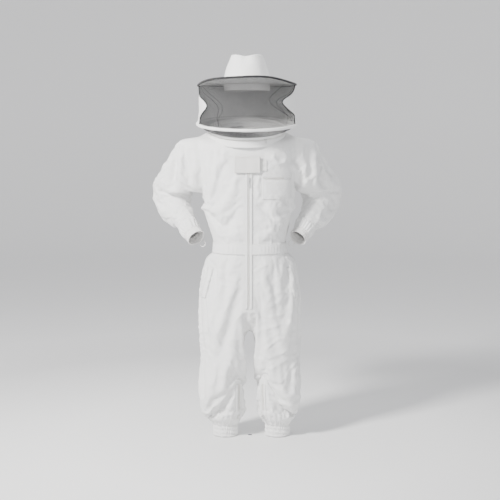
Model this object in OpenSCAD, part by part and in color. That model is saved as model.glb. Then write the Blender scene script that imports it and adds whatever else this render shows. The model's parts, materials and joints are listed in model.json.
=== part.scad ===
// One-piece beekeeping suit with a zip-on round veil, standing as if worn, hands-on-hips.
// Millimetres. +Z up, the front faces -Y, +X is the wearer's left. The ankle hems rest on z = 0.

/* [Fabric] */
// Wall of the cotton panels, seams and lining together
fabric_t = 2; // [1.6:0.2:3]
// Wall of the veil netting
net_t = 1.2; // [1:0.2:1.6]

/* [Trunk] */
// Distance of the flat front, where the main zip runs, from the centre plane
front_y = 140; // [130:1:150]
// Half width of the chest
chest_a = 210; // [205:1:216]
// Half width of the elastic waist
waist_a = 152; // [146:1:160]
// Half width of the hips
hip_a = 222; // [215:1:228]
// Height of the crotch above the ankle hems
crotch_z = 545; // [540:1:550]
// Height of the waistband's lower edge
waist_z = 800; // [795:1:805]
// Sideways lean of the upper body
lean_x = -13; // [-20:1:0]

/* [Arms] */
// Half height of the armhole
armhole_r = 100; // [96:1:104]
// Inner radius of the elastic wrist cuff
wrist_r = 34; // [32:1:36]
// Length of the wrist cuff
wrist_l = 34; // [28:1:40]

/* [Legs] */
// Distance of each ankle from the middle
ankle_x = 113; // [110:1:116]
// Sideways offset of both feet from the centre plane
stance_x = 6; // [0:1:10]
// Inner radius of the elastic ankle cuff
ankle_r = 50; // [46:1:52]
// Height of the ankle cuff
ankle_h = 56; // [45:1:60]

/* [Veil] */
// Radius of the ring zip at the collar
ring_r = 160; // [155:1:165]
// Height of the ring zip's centre
ring_z = 1314; // [1312:1:1318]
// Forward slope of the collar ring
ring_tilt = 15; // [12:1:16]
// Forward slope of the lower hoop
hoop_tilt = 8; // [8:1:14]
// Distance of the lower hoop's middle above the ring zip
hoop_rise = 30; // [28:1:34]
// Radius of the lower hoop, to its wire
hoop_r = 208; // [200:1:212]
// Radius of the brim, to its wire
brim_r = 211; // [205:1:214]
// Height of the brim
brim_z = 1509; // [1500:1:1515]
// Height of the hat's crown above the brim
crown_h = 128; // [115:1:135]
// Half width of the hat opening
head_a = 99; // [92:1:102]
// Half length of the hat opening
head_b = 112; // [105:1:116]

/* [Hidden] */

EPS = 0.01;
GAP = 0.5;           // between panels that a seam joins
RING_N = 32;         // corners of a panel's cross-section
TRUNK_P = 2.4;       // squareness of the trunk's cross-section
LIMB_P = 2;
UP = [0, 0, 1];

// ---------- lofted panels ----------

// A cross-section: centre, width direction, depth direction, half width, half depth, squareness,
// and how far its two sides are lifted above its front and back
function section(c, u, v, a, b, p = LIMB_P, lift = 0) = [c, u, v, a, b, p, lift];

function unit(v) = v / norm(v);

function power(x, p) = sign(x) * pow(abs(x), 2 / p);

// Points of one cross-section, shrunk by inset, from angle t0 to t1
function ring_points(s, inset, t0, t1) = [
    for (i = [0 : RING_N - (t1 - t0 >= 360 ? 1 : 0)])
        let (t = t0 + (t1 - t0) * i / RING_N)
        s[0] + s[1] * (s[3] - inset) * power(cos(t), s[5]) + s[2] * (s[4] - inset) * power(sin(t), s[5])
        + UP * s[6] * cos(t) * cos(t)
];

// Two triangles of a quad, one way round or the other
function quad(a, b, c, d, flip) = flip ? [[a, c, b], [a, d, c]] : [[a, b, c], [a, c, d]];

// A closed tube wall through the sections
module tube(sections, wall) {
    n = RING_N;
    m = len(sections);
    points = [
        for (inset = [0, wall])
            for (s = sections)
                each ring_points(s, inset, 0, 360)
    ];
    inner = n * m;
    faces = [
        for (k = [0 : m - 2])
            for (i = [0 : n - 1])
                let (j = (i + 1) % n, p = k * n, q = (k + 1) * n)
                each concat(
                    quad(p + i, p + j, q + j, q + i, true),
                    quad(inner + p + i, inner + p + j, inner + q + j, inner + q + i, false)),
        for (i = [0 : n - 1])
            let (j = (i + 1) % n, top = (m - 1) * n)
            each concat(
                quad(i, j, inner + j, inner + i, false),
                quad(top + i, top + j, inner + top + j, inner + top + i, true))
    ];
    polyhedron(points, faces);
}

// The same wall from angle t0 to t1 only, with closed side edges; its inner face can be raised as well
module tube_panel(sections, wall, t0, t1, raise = 0) {
    n = RING_N + 1;
    m = len(sections);
    points = [
        for (face = [[0, 0], [wall, raise]])
            for (s = sections)
                for (p = ring_points(s, face[0], t0, t1))
                    p + UP * face[1]
    ];
    inner = n * m;
    faces = [
        for (k = [0 : m - 2])
            let (p = k * n, q = (k + 1) * n)
            each concat(
                [for (i = [0 : n - 2]) each concat(
                    quad(p + i, p + i + 1, q + i + 1, q + i, true),
                    quad(inner + p + i, inner + p + i + 1, inner + q + i + 1, inner + q + i, false))],
                quad(p, q, inner + q, inner + p, true),
                quad(p + n - 1, q + n - 1, inner + q + n - 1, inner + p + n - 1, false)),
        for (i = [0 : n - 2])
            let (top = (m - 1) * n)
            each concat(
                quad(i, i + 1, inner + i + 1, inner + i, false),
                quad(top + i, top + i + 1, inner + top + i + 1, inner + top + i, true))
    ];
    polyhedron(points, faces);
}

// A solid through the sections, closed at both ends
module solid(sections) {
    n = RING_N;
    m = len(sections);
    points = concat(
        [for (s = sections) each ring_points(s, 0, 0, 360)],
        [sections[0][0], sections[m - 1][0]]);
    faces = [
        for (k = [0 : m - 2])
            for (i = [0 : n - 1])
                let (j = (i + 1) % n, p = k * n, q = (k + 1) * n)
                each quad(p + i, p + j, q + j, q + i, true),
        for (i = [0 : n - 1])
            let (j = (i + 1) % n, top = (m - 1) * n)
            each [[m * n, i, j], [m * n + 1, top + j, top + i]]
    ];
    polyhedron(points, faces);
}

function shrunk(sections, inset) = [
    for (s = sections) section(s[0], s[1], s[2], s[3] - inset, s[4] - inset, s[5], s[6])
];

// ---------- trunk ----------

function lean(z) = lean_x * min(1, max(0, (z - waist_z) / 300));

// A trunk section at height z, with its front on the flat zip plane
function trunk(z, a, b, tilt = 0, lift = 0, grow = 0) = section(
    [lean(z), (b + grow) * cos(tilt) - front_y - grow, z], [1, 0, 0], [0, cos(tilt), sin(tilt)],
    a + grow, b + grow, TRUNK_P, lift);

WAIST_H = 46;
waist_top = waist_z + WAIST_H;

YOKE_SEAM = [1249, chest_a - 8, 134, 11, 38];
bodice_sections = [
    trunk(waist_top + GAP, waist_a, 118),
    trunk(905, waist_a + 17, 122),
    trunk(1000, chest_a - 14, 130),
    trunk(1085, chest_a - 2, 136),
    trunk(1160, chest_a, 138, 2, 5),
    trunk(1215, chest_a - 3, 136, 6, 22),
    trunk(YOKE_SEAM[0], YOKE_SEAM[1], YOKE_SEAM[2], YOKE_SEAM[3], YOKE_SEAM[4])
];
seat_sections = [
    trunk(crotch_z, hip_a, 128),
    trunk(600, hip_a - 1, 136),
    trunk(680, hip_a - 11, 138),
    trunk(750, hip_a - 24, 130),
    trunk(780, hip_a - 38, 125),
    trunk(waist_z - GAP, waist_a + 4, 120)
];

// The collar's frame: the ring zip lies in its z = 0 plane
module at_ring() {
    translate([lean_x, 0, ring_z]) rotate([ring_tilt, 0, 0]) children();
}

function at_ring_section(z, a, b, y = 0) = section(
    [lean_x, y * cos(ring_tilt) - z * sin(ring_tilt), ring_z + y * sin(ring_tilt) + z * cos(ring_tilt)],
    [1, 0, 0], [0, cos(ring_tilt), sin(ring_tilt)], a, b);

// The lower hoop's frame: its wire lies in its z = 0 plane
HOOP_CENTRE = [lean_x, -hoop_rise * sin(ring_tilt), ring_z + hoop_rise * cos(ring_tilt)];

module at_hoop() {
    translate(HOOP_CENTRE) rotate([hoop_tilt, 0, 0]) children();
}

function at_hoop_section(z, r) = section(
    HOOP_CENTRE + [0, -z * sin(hoop_tilt), z * cos(hoop_tilt)],
    [1, 0, 0], [0, cos(hoop_tilt), sin(hoop_tilt)], r, r);

module bodice() {
    color("whitesmoke") difference() {
        tube(bodice_sections, fabric_t);
        for (side = [-1, 1])
            solid([
                for (x = [chest_a - 30, chest_a + 30])
                    section([side * x + lean_x, 0, ARM[0][0][2] - 6], [0, 1, 0], [0, 0, side], 72, armhole_r - 26)
            ]);
    }
}

module collar() {
    color("whitesmoke") tube([
        trunk(YOKE_SEAM[0] + 2 * GAP, YOKE_SEAM[1], YOKE_SEAM[2], YOKE_SEAM[3], YOKE_SEAM[4]),
        at_ring_section(-22, ring_r + 16, ring_r - 16, -8),
        at_ring_section(-14, ring_r, ring_r - 3)
    ], fabric_t);
}

module waistband() {
    color("white") tube([
        trunk(waist_z, waist_a, 118, grow = 1),
        trunk(waist_top, waist_a, 118, grow = 1)
    ], fabric_t + 1);
}

module seat() {
    color("whitesmoke") {
        tube(seat_sections, fabric_t);
        // the crotch gusset joins front to back between the legs
        translate([-4, 1 - front_y, crotch_z]) cube([8, 2 * 128 - 2, 14]);
    }
}

// ---------- arms, drawn for the wearer's left and mirrored for the right ----------

// Centre line of the sleeve, from the armhole to the cuff: centre and radius
ARM = [
    [[chest_a + 6, 2, 1187], armhole_r],
    [[246, 20, 1184], 93],
    [[286, 62, 1146], 78],
    [[318, 96, 1108], 72],
    [[344, 124, 1062], 69],
    [[334, 110, 1012], 60],
    [[314, 86, 972], 55],
    [[266, 28, 918], 46],
    [[234, -10, 882], wrist_r + 5]
];
ARM_END = len(ARM) - 1;
ARM_SIDE = [0.72, -0.69, 0];   // square to the plane that the bent arm lies in

function arm_direction(i) = i == 0 ? [1, 0, 0] : unit(ARM[min(i + 1, ARM_END)][0] - ARM[i - 1][0]);

function arm_section(i, r) =
    let (d = arm_direction(i), u = unit(ARM_SIDE - d * (ARM_SIDE * d)))
    section(ARM[i][0], u, cross(d, u), r, r);

// The armhole is taller than it is deep
ARMHOLE_DEPTH = 0.82;

function arm_sections(from, to) = [
    for (i = [from : to])
        let (s = arm_section(i, ARM[i][1]))
        i == 0 ? section(s[0], s[1], s[2], s[3] * ARMHOLE_DEPTH, s[4]) : s
];

wrist_dir = unit(ARM[ARM_END][0] - ARM[ARM_END - 1][0]);
wrist_start = ARM[ARM_END][0] + wrist_dir * GAP;

module arm(side) {
    if (side > 0) translate([lean(1190), 0, 0]) children();
    else translate([lean(1190), 0, 0]) mirror([1, 0, 0]) children();
}

// Puts children's z axis along the forearm, with the origin where the cuff starts
module at_wrist() {
    translate(wrist_start)
        rotate([0, acos(wrist_dir[2]), atan2(wrist_dir[1], wrist_dir[0])])
            children();
}

// The same sections with the two end ones drawn in along the limb
function nudged(sections, start, end) = [
    for (i = [0 : len(sections) - 1])
        let (
            s = sections[i],
            last = len(sections) - 1,
            shift = i == 0 ? unit(sections[1][0] - s[0]) * start
                : i == last ? unit(sections[last - 1][0] - s[0]) * end
                : [0, 0, 0]
        )
        section(s[0] + shift, s[1], s[2], s[3], s[4], s[5], s[6])
];

module shoulder(side) {
    color("whitesmoke") arm(side) tube(nudged(arm_sections(0, 2), 0, GAP), fabric_t);
}

module upper_sleeve(side) {
    color("whitesmoke") arm(side) tube(nudged(arm_sections(2, 3), GAP, GAP), fabric_t);
}

module elbow(side) {
    color("whitesmoke") arm(side) tube(nudged(arm_sections(3, 6), GAP, GAP), fabric_t);
}

module lower_sleeve(side) {
    color("whitesmoke") arm(side) tube(nudged(arm_sections(6, ARM_END), GAP, GAP), fabric_t);
}

module wrist_cuff(side) {
    color("white") arm(side) at_wrist() difference() {
        cylinder(r = wrist_r + 4, h = wrist_l, $fn = 72);
        translate([0, 0, -EPS]) cylinder(r = wrist_r, h = wrist_l + 2 * EPS, $fn = 72);
    }
}

// Elastic loop that hooks over the thumb and stops the sleeve riding up
LOOP_W = 3;
LOOP_REACH = 34;
LOOP_TURN = -60;
LOOP_GAP = 1.4;

module thumb_loop(side) {
    color("white") arm(side) at_wrist() rotate([0, 0, LOOP_TURN]) translate([wrist_r + 2.4, 0, wrist_l + LOOP_GAP]) {
        rotate([0, 90, 0]) linear_extrude(LOOP_W, center = true) difference() {
            hull() {
                translate([-EPS, 0]) square([2 * EPS, 24], center = true);
                translate([-LOOP_REACH + 12, 0]) circle(r = 12, $fn = 48);
            }
            hull() {
                translate([-3, 0]) square([2 * EPS, 20], center = true);
                translate([-LOOP_REACH + 12, 0]) circle(r = 10.4, $fn = 48);
            }
        }
    }
}

// ---------- legs ----------

// Height, distance of the centre from the crotch line, half width, half depth, centre y
LEG = [
    [crotch_z - GAP, 115, 107, 126, -12],
    [490, 116, 104, 118, -11],
    [430, 112, 96, 107, -9],
    [375, 108, 90, 99, -6],
    [300, 129, 107, 104, -6],
    [250, 129, 106, 103, -2],
    [200, 128, 104, 100, 2],
    [130, 124, 95, 92, 6],
    [80, ankle_x + 3, 78, 79, 8],
    [ankle_h + 2, ankle_x, ankle_r + 12, ankle_r + 12, 8]
];

function leg_section(i, side, dz = 0) =
    let (s = LEG[i], z = s[0] + dz)
    section([side * s[1] + stance_x * (1 - z / crotch_z), s[4], z], [1, 0, 0], [0, 1, 0], s[2], s[3]);

function leg_sections(from, to, side) = [
    for (i = [to : -1 : from])
        leg_section(i, side, i == from ? -GAP : i == to ? GAP : 0)
];

function ankle_centre(side) = [side * ankle_x + stance_x, 8];

module leg_part(from, to, side) {
    color("whitesmoke") tube(leg_sections(from, to, side), fabric_t);
}

module ankle_cuff(side) {
    color("white") translate(ankle_centre(side)) difference() {
        cylinder(r = ankle_r + 5, h = ankle_h, $fn = 72);
        translate([0, 0, -EPS]) cylinder(r = ankle_r, h = ankle_h + 2 * EPS, $fn = 72);
    }
}

// Slant pocket let into the side of the hip
POCKET_T = 2;
POCKET_SPAN = 50;

module side_pocket(side) {
    middle = side > 0 ? -30 : 210;
    grow = POCKET_T + 1.5;
    color("whitesmoke") tube_panel([
        trunk(600, hip_a - 1, 136, grow = grow),
        trunk(680, hip_a - 11, 138, grow = grow),
        trunk(740, hip_a - 20, 132, grow = grow)
    ], POCKET_T, middle - POCKET_SPAN / 2, middle + POCKET_SPAN / 2);
}

// ---------- zips ----------

TAPE_W = 13;         // one side of the tape
TAPE_T = 1;
CHAIN_W = 6;
CHAIN_T = 2;
ZIP_BOTTOM = 585;
ZIP_TOP = 1186;
SLIDER_W = 11;
SLIDER_L = 16;
SLIDER_T = 4;
POST_X = 2;          // the two posts that hold the pull's pin
POST_T = 1.2;
PIN_R = 0.8;
PIN_OUT = 2.6;       // the pin's height off the slider's face
PIN_UP = 10;

// Straight zip tapes up +Z with their back on y = 0, facing -Y
module tapes(length) {
    for (side = [-1, 1])
        translate([side * (CHAIN_W / 2 + GAP + TAPE_W / 2) - TAPE_W / 2, -TAPE_T, 0])
            cube([TAPE_W, TAPE_T, length]);
}

module chain(length) {
    translate([-CHAIN_W / 2, -CHAIN_T, 0]) cube([CHAIN_W, CHAIN_T, length]);
}

// Slider body with a crown that the pull hangs from; its back is on y = 0
module slider() {
    translate([-SLIDER_W / 2, -SLIDER_T, 0]) {
        difference() {
            cube([SLIDER_W, SLIDER_T, SLIDER_L]);
            translate([-EPS, 2, -EPS]) cube([2, SLIDER_T, SLIDER_L + 2 * EPS]);
            translate([SLIDER_W - 2 + EPS, 2, -EPS]) cube([2, SLIDER_T, SLIDER_L + 2 * EPS]);
        }
        for (x = [POST_X, SLIDER_W - POST_X - POST_T])
            translate([x, -PIN_OUT - PIN_R, PIN_UP - 2]) cube([POST_T, PIN_OUT + PIN_R + EPS, 4]);
    }
    translate([POST_X - SLIDER_W / 2, -SLIDER_T - PIN_OUT, PIN_UP])
        rotate([0, 90, 0]) cylinder(r = PIN_R, h = SLIDER_W - 2 * POST_X, $fn = 24);
}

// Pull tab with an eye that turns on the slider's crown pin, hanging from the origin
PULL_L = 30;
RING_PULL_L = 12;
PULL_W = 3.8;

module pull(length, grip_r) {
    difference() {
        union() {
            rotate([0, 90, 0]) cylinder(r = 2, h = PULL_W, center = true, $fn = 32);
            translate([-PULL_W / 2, -0.8, -length]) cube([PULL_W, 1.6, length - 1]);
            translate([0, 0.8, -length + 2]) rotate([90, 0, 0]) cylinder(r = grip_r, h = 1.6, $fn = 48);
        }
        rotate([0, 90, 0]) cylinder(r = PIN_R + 0.06, h = PULL_W + 1, center = true, $fn = 32);
        translate([0, 2, -length + 1]) rotate([90, 0, 0]) cylinder(r = grip_r * 0.4, h = 4, $fn = 32);
    }
}

ZIP_Y = -front_y - 1.5;
zip_x = -6;

module front_zip_tapes() {
    color("gainsboro") translate([zip_x, ZIP_Y, ZIP_BOTTOM]) tapes(ZIP_TOP - ZIP_BOTTOM);
}

module front_zip_chain() {
    color("white") translate([zip_x, ZIP_Y, ZIP_BOTTOM]) chain(ZIP_TOP - ZIP_BOTTOM);
}

FRONT_SLIDER_Z = ZIP_TOP - SLIDER_L - 64;

module front_zip_slider() {
    color("silver") translate([zip_x, ZIP_Y - CHAIN_T - 0.4, FRONT_SLIDER_Z]) slider();
}

module front_zip_pull() {
    color("silver")
        translate([zip_x, ZIP_Y - CHAIN_T - 0.4 - SLIDER_T - PIN_OUT, FRONT_SLIDER_Z + PIN_UP]) pull(PULL_L, 5);
}

// Leg zips run up the inner front of each shin, from just above the ankle cuff
LEG_ZIP_LOW = [54, -47, 80];
LEG_ZIP_HIGH = [44, -74, 236];
LEG_ZIP_OUT = [-0.72, -0.69, 0];

function leg_point(p, side) = [side * p[0] + stance_x * (1 - p[2] / crotch_z), p[1], p[2]];

leg_zip_l = norm(LEG_ZIP_HIGH - LEG_ZIP_LOW);

// Puts children's z axis up the zip and their -y axis out of the shin
module at_leg_zip(side) {
    low = leg_point(LEG_ZIP_LOW, side);
    up = unit(leg_point(LEG_ZIP_HIGH, side) - low);
    out = [side * LEG_ZIP_OUT[0], LEG_ZIP_OUT[1], 0];
    inward = -unit(out - up * (out * up));
    across = cross(inward, up);
    multmatrix([
        [across[0], inward[0], up[0], low[0]],
        [across[1], inward[1], up[1], low[1]],
        [across[2], inward[2], up[2], low[2]],
        [0, 0, 0, 1]
    ]) children();
}

module leg_zip(side) {
    color("gainsboro") at_leg_zip(side) {
        tapes(leg_zip_l);
        chain(leg_zip_l);
    }
}

module leg_zip_slider(side) {
    color("silver") at_leg_zip(side) translate([0, -CHAIN_T - 0.4, 4]) {
        slider();
        translate([-1.5, -SLIDER_T - 1.6, -14]) cube([3, 1.6, 22]);
    }
}

// ---------- chest pocket ----------

POCKET_R = 222;      // the pocket follows the chest round on this radius
POCKET_FROM = -87.6;
POCKET_TURN = 33;
POCKET_Z = 1030;
POCKET_H = 108;
POCKET_ZIP_Z = 82;   // the zip's height up the pocket
POCKET_ZIP_H = 12;
POCKET_SLIDER = -62.3;

module at_chest_pocket(turn) {
    translate([54 + lean_x, 222 - front_y - 2, POCKET_Z]) rotate([0, 0, turn]) children();
}

module curved_strip(r, wall, z, h, turn) {
    rotate_extrude(angle = turn, $fn = 180) translate([r, z]) square([wall, h]);
}

module chest_pocket() {
    color("whitesmoke") at_chest_pocket(POCKET_FROM) curved_strip(POCKET_R, 2, 0, POCKET_H, POCKET_TURN);
}

module chest_pocket_zip() {
    color("gainsboro") at_chest_pocket(POCKET_FROM + 2)
        curved_strip(POCKET_R + 2.1, 1.2, POCKET_ZIP_Z, POCKET_ZIP_H, POCKET_TURN - 4);
}

module chest_pocket_slider() {
    color("silver") at_chest_pocket(POCKET_SLIDER) translate([POCKET_R + 3.5, 0, POCKET_ZIP_Z + 2]) {
        translate([0, -6, 0]) cube([2.4, 12, 8]);
        translate([0.6, 6 - EPS, 2.8]) cube([1.2, 12, 2.4]);
    }
}

// ---------- neck flap ----------

FLAP_W = 106;
FLAP_H = 68;
FLAP_Z = 1208;
FLAP_X = -11;
FLAP_Y = -front_y - 5.5;

module neck_flap() {
    color("whitesmoke") translate([FLAP_X - FLAP_W / 2, FLAP_Y - 1.6, FLAP_Z - FLAP_H]) cube([FLAP_W, 1.6, FLAP_H]);
}

module flap_hook_patch() {
    color("white") translate([FLAP_X + 24, FLAP_Y + EPS, FLAP_Z - FLAP_H + 6]) cube([26, 2.6, FLAP_H - 16]);
}

module flap_loop_patch() {
    color("gainsboro") translate([FLAP_X + 24, -front_y - 1.8, FLAP_Z - FLAP_H + 8]) cube([56, 1.2, FLAP_H - 20]);
}

// ---------- hanger loop, a tape ring on the back of the collar ----------

HANGER_R = 11;
HANGER_Z = 1236;
HANGER_Y = 144;

module hanger_loop() {
    color("white") translate([lean_x, HANGER_Y, HANGER_Z]) difference() {
        cylinder(r = HANGER_R + 1.6, h = 10, $fn = 72);
        translate([0, 0, -EPS]) cylinder(r = HANGER_R, h = 10 + 2 * EPS, $fn = 72);
    }
}

// ---------- ring zip ----------

module ring_band(r, wall, z0, h) {
    rotate_extrude($fn = 96) translate([r, z0]) square([wall, h]);
}

module ring_zip_lower() {
    color("dimgray") at_ring() {
        ring_band(ring_r - 1, 1.2, -13, 11.2);
        ring_band(ring_r + 0.2 - EPS, 1.6, -4, 2.2);
    }
}

module ring_zip_upper() {
    color("black") at_ring() {
        ring_band(ring_r - 1, 1.2, -1, 11);
        ring_band(ring_r + 0.2 - EPS, 1.6, -1, 2.2);
    }
}

RING_REST = -62;     // where the slider stands, from the wearer's left round the front

module at_ring_slider() {
    at_ring() rotate([0, 0, RING_REST]) translate([ring_r + 2.6, 0, -3.5]) children();
}

RING_SLIDER_T = 2.6;

module ring_zip_slider() {
    color("dimgray") at_ring_slider() {
        translate([0, -7, 0]) cube([RING_SLIDER_T, 14, 6]);
        for (y = [-3.6, 3.6 - POST_T])
            translate([RING_SLIDER_T - EPS, y, 1]) cube([PIN_OUT + PIN_R + EPS, POST_T, 4]);
        translate([RING_SLIDER_T + PIN_OUT, -3.6, 3]) rotate([-90, 0, 0]) cylinder(r = PIN_R, h = 7.2, $fn = 24);
    }
}

module ring_zip_pull() {
    color("dimgray") at_ring_slider()
        translate([RING_SLIDER_T + PIN_OUT, 0, 3]) rotate([0, 0, 90]) pull(RING_PULL_L, 4);
}

// ---------- veil ----------

NET_SPREAD = 84;     // the net covers this far either side of the front

veil_sections = [
    at_hoop_section(8, hoop_r - 2),
    section([lean_x, -5, 1400], [1, 0, 0], [0, cos(5), sin(5)], 192, 192),
    section([lean_x, -2, 1448], [1, 0, 0], [0, cos(3), sin(3)], 192, 192),
    section([lean_x, 0, brim_z - 6], [1, 0, 0], [0, 1, 0], brim_r - 5, brim_r - 5)
];
skirt_sections = [
    at_ring_section(11, ring_r + 2, ring_r + 2),
    at_hoop_section(-7.5, hoop_r - 2)
];

module net_part(sections, wall, raise = 0) {
    tube_panel(sections, wall, 270 - NET_SPREAD, 270 + NET_SPREAD, raise);
}

module cloth_part(sections, wall, raise = 0) {
    tube_panel(sections, wall, NET_SPREAD - 90 + 0.5, 270 - NET_SPREAD - 0.5, raise);
}

module skirt_net() {
    color("black", 0.5) net_part(skirt_sections, 0, net_t);
}

module skirt_cloth() {
    color("whitesmoke") cloth_part(skirt_sections, 0, fabric_t);
}

module veil_net() {
    color("black", 0.5) net_part(veil_sections, net_t);
}

module veil_cloth() {
    color("whitesmoke") cloth_part(veil_sections, fabric_t);
}

WIRE_R = 1.8;

module wire(r) {
    rotate_extrude($fn = 96) translate([r, 0]) circle(r = WIRE_R, $fn = 32);
}

// A casing that wraps the wire, open in a slit towards the middle
module casing(r, outer) {
    rotate_extrude($fn = 96) translate([r, 0]) difference() {
        circle(r = outer, $fn = 32);
        circle(r = WIRE_R + 0.3, $fn = 32);
        translate([-outer - 1, -0.4]) square([outer + 1, 0.8]);
    }
}

module hoop_wire() {
    color("silver") at_hoop() wire(hoop_r);
}

module hoop_casing() {
    color("white") at_hoop() casing(hoop_r, 4.6);
}

module at_brim() {
    translate([lean_x, 0, brim_z]) children();
}

function oval(a, b) = [for (i = [0 : 47]) let (t = i * 7.5) [a * cos(t), b * sin(t)]];

BRIM_T = 2.4;

module brim() {
    color("white") at_brim() translate([0, 0, -BRIM_T / 2]) linear_extrude(BRIM_T) difference() {
        circle(r = brim_r - 4.2, $fn = 96);
        polygon(oval(head_a, head_b));
    }
}

module brim_wire() {
    color("silver") at_brim() wire(brim_r);
}

module brim_binding() {
    color("black") at_brim() casing(brim_r, 3.8);
}

// Stiffened crown, closed on top, its rim just above the brim
module crown() {
    base = 2;
    shape = [
        section([0, 0, base], [1, 0, 0], [0, 1, 0], head_a + 3, head_b + 3),
        section([0, 0, crown_h * 0.45], [1, 0, 0], [0, 1, 0], head_a - 7, head_b - 6),
        section([0, 0, crown_h * 0.86], [1, 0, 0], [0, 1, 0], head_a - 20, head_b - 20),
        section([0, 0, crown_h - 3], [1, 0, 0], [0, 1, 0], head_a - 28, head_b - 29),
        section([0, 0, crown_h], [1, 0, 0], [0, 1, 0], head_a - 38, head_b - 40)
    ];
    color("white") at_brim() difference() {
        solid(shape);
        translate([0, 0, -2.2]) solid(shrunk(shape, fabric_t));
    }
}

module sweatband() {
    height = 30;
    color("white") at_brim() translate([0, 0, -height]) linear_extrude(height - BRIM_T / 2 - 0.3) difference() {
        polygon(oval(head_a - 1, head_b - 1));
        polygon(oval(head_a - 3.2, head_b - 3.2));
    }
}

// ---------- parts ----------

bodice();
collar();
waistband();
seat();
shoulder(1);  // left_shoulder
upper_sleeve(1);  // left_upper_sleeve
elbow(1);  // left_elbow
lower_sleeve(1);  // left_lower_sleeve
wrist_cuff(1);  // left_wrist_cuff
thumb_loop(1);  // left_thumb_loop
shoulder(-1);  // right_shoulder
upper_sleeve(-1);  // right_upper_sleeve
elbow(-1);  // right_elbow
lower_sleeve(-1);  // right_lower_sleeve
wrist_cuff(-1);  // right_wrist_cuff
thumb_loop(-1);  // right_thumb_loop
leg_part(0, 2, 1);  // left_hip
leg_part(2, 3, 1);  // left_thigh
leg_part(3, 5, 1);  // left_knee
leg_part(5, 9, 1);  // left_shin
ankle_cuff(1);  // left_ankle_cuff
side_pocket(1);  // left_side_pocket
leg_part(0, 2, -1);  // right_hip
leg_part(2, 3, -1);  // right_thigh
leg_part(3, 5, -1);  // right_knee
leg_part(5, 9, -1);  // right_shin
ankle_cuff(-1);  // right_ankle_cuff
side_pocket(-1);  // right_side_pocket
front_zip_tapes();
front_zip_chain();
front_zip_slider();
front_zip_pull();
leg_zip(1);  // left_leg_zip
leg_zip_slider(1);  // left_leg_zip_slider
leg_zip(-1);  // right_leg_zip
leg_zip_slider(-1);  // right_leg_zip_slider
chest_pocket();
chest_pocket_zip();
chest_pocket_slider();
neck_flap();
flap_hook_patch();
flap_loop_patch();
hanger_loop();
ring_zip_lower();
ring_zip_upper();
ring_zip_slider();
ring_zip_pull();
skirt_net();
skirt_cloth();
hoop_wire();
hoop_casing();
veil_net();
veil_cloth();
brim();
brim_wire();
brim_binding();
crown();
sweatband();
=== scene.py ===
# Beekeeping suit: cloth, veil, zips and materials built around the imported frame.
import functools
import json
import math

import bmesh
import bpy
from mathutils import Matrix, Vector, noise
from mathutils.bvhtree import BVHTree


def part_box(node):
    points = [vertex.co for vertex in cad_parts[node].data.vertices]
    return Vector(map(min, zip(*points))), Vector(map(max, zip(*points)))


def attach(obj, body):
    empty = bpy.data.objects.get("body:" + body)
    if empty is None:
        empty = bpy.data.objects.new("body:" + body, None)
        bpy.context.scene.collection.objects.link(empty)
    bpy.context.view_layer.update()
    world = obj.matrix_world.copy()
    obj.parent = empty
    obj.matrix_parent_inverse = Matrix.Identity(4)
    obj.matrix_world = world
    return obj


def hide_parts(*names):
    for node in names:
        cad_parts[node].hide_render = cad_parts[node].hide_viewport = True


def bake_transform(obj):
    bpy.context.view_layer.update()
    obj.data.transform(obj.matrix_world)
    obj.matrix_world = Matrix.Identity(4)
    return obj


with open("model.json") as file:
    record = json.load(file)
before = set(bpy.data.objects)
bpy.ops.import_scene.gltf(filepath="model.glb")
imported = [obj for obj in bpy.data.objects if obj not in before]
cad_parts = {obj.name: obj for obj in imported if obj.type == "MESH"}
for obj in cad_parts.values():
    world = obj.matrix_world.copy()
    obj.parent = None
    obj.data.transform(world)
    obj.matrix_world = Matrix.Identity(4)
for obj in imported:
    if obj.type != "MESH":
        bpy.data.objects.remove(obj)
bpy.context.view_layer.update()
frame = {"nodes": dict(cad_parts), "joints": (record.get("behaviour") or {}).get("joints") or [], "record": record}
nodes = frame["nodes"]
joints = {j["name"]: j for j in frame["joints"]}
SIDES = (("left", 1), ("right", -1))
UP = Vector((0, 0, 1))


# ---------- places, read from the frame, and a given chest height ---

@functools.cache
def box(node):
    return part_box(node)


def middle(node):
    low, high = box(node)
    return (low + high) / 2


@functools.cache
def joint_at(name):
    return Vector(joints[name]["pos_m"])


RING_CENTRE = joint_at("ring_zip_slide")
RING_UP = -Vector(joints["ring_zip_slide"]["axis"])
RING_BACK = Vector((1, 0, 0)).cross(RING_UP) * -1
RING_R = (box("ring_zip_lower")[1].x - box("ring_zip_lower")[0].x) / 2
ZIP_X = middle("front_zip_chain").x
ZIP_FACE = box("front_zip_chain")[1].y
ZIP_LOW = box("front_zip_chain")[0].z
ZIP_HIGH = box("front_zip_chain")[1].z
WAIST_LOW = box("waistband")[0].z
WAIST_HIGH = box("waistband")[1].z
CROTCH = box("seat")[0].z
CHEST_Z = 1.1


def ring_point(angle, r, up):
    """A point round the collar ring: angle from the wearer's left, distance out, height above the zip."""
    out = Vector((1, 0, 0)) * math.cos(angle) + RING_BACK * math.sin(angle)
    return RING_CENTRE + out * r + RING_UP * up


def ring_local(p):
    d = Vector(p) - RING_CENTRE
    return Vector((d.x, d.dot(RING_BACK), d.dot(RING_UP)))


def smooth(a, b, x):
    t = min(1.0, max(0.0, (x - a) / (b - a)))
    return t * t * (3 - 2 * t)


def trunk_lean(z):
    """How far the trunk's middle is to the wearer's left at height z."""
    return RING_CENTRE.x * smooth(WAIST_LOW, CHEST_Z, z)


# ---------- mesh helpers ----------

def new_object(name, mesh):
    obj = bpy.data.objects.new(name, mesh)
    bpy.context.scene.collection.objects.link(obj)
    return obj


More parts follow.
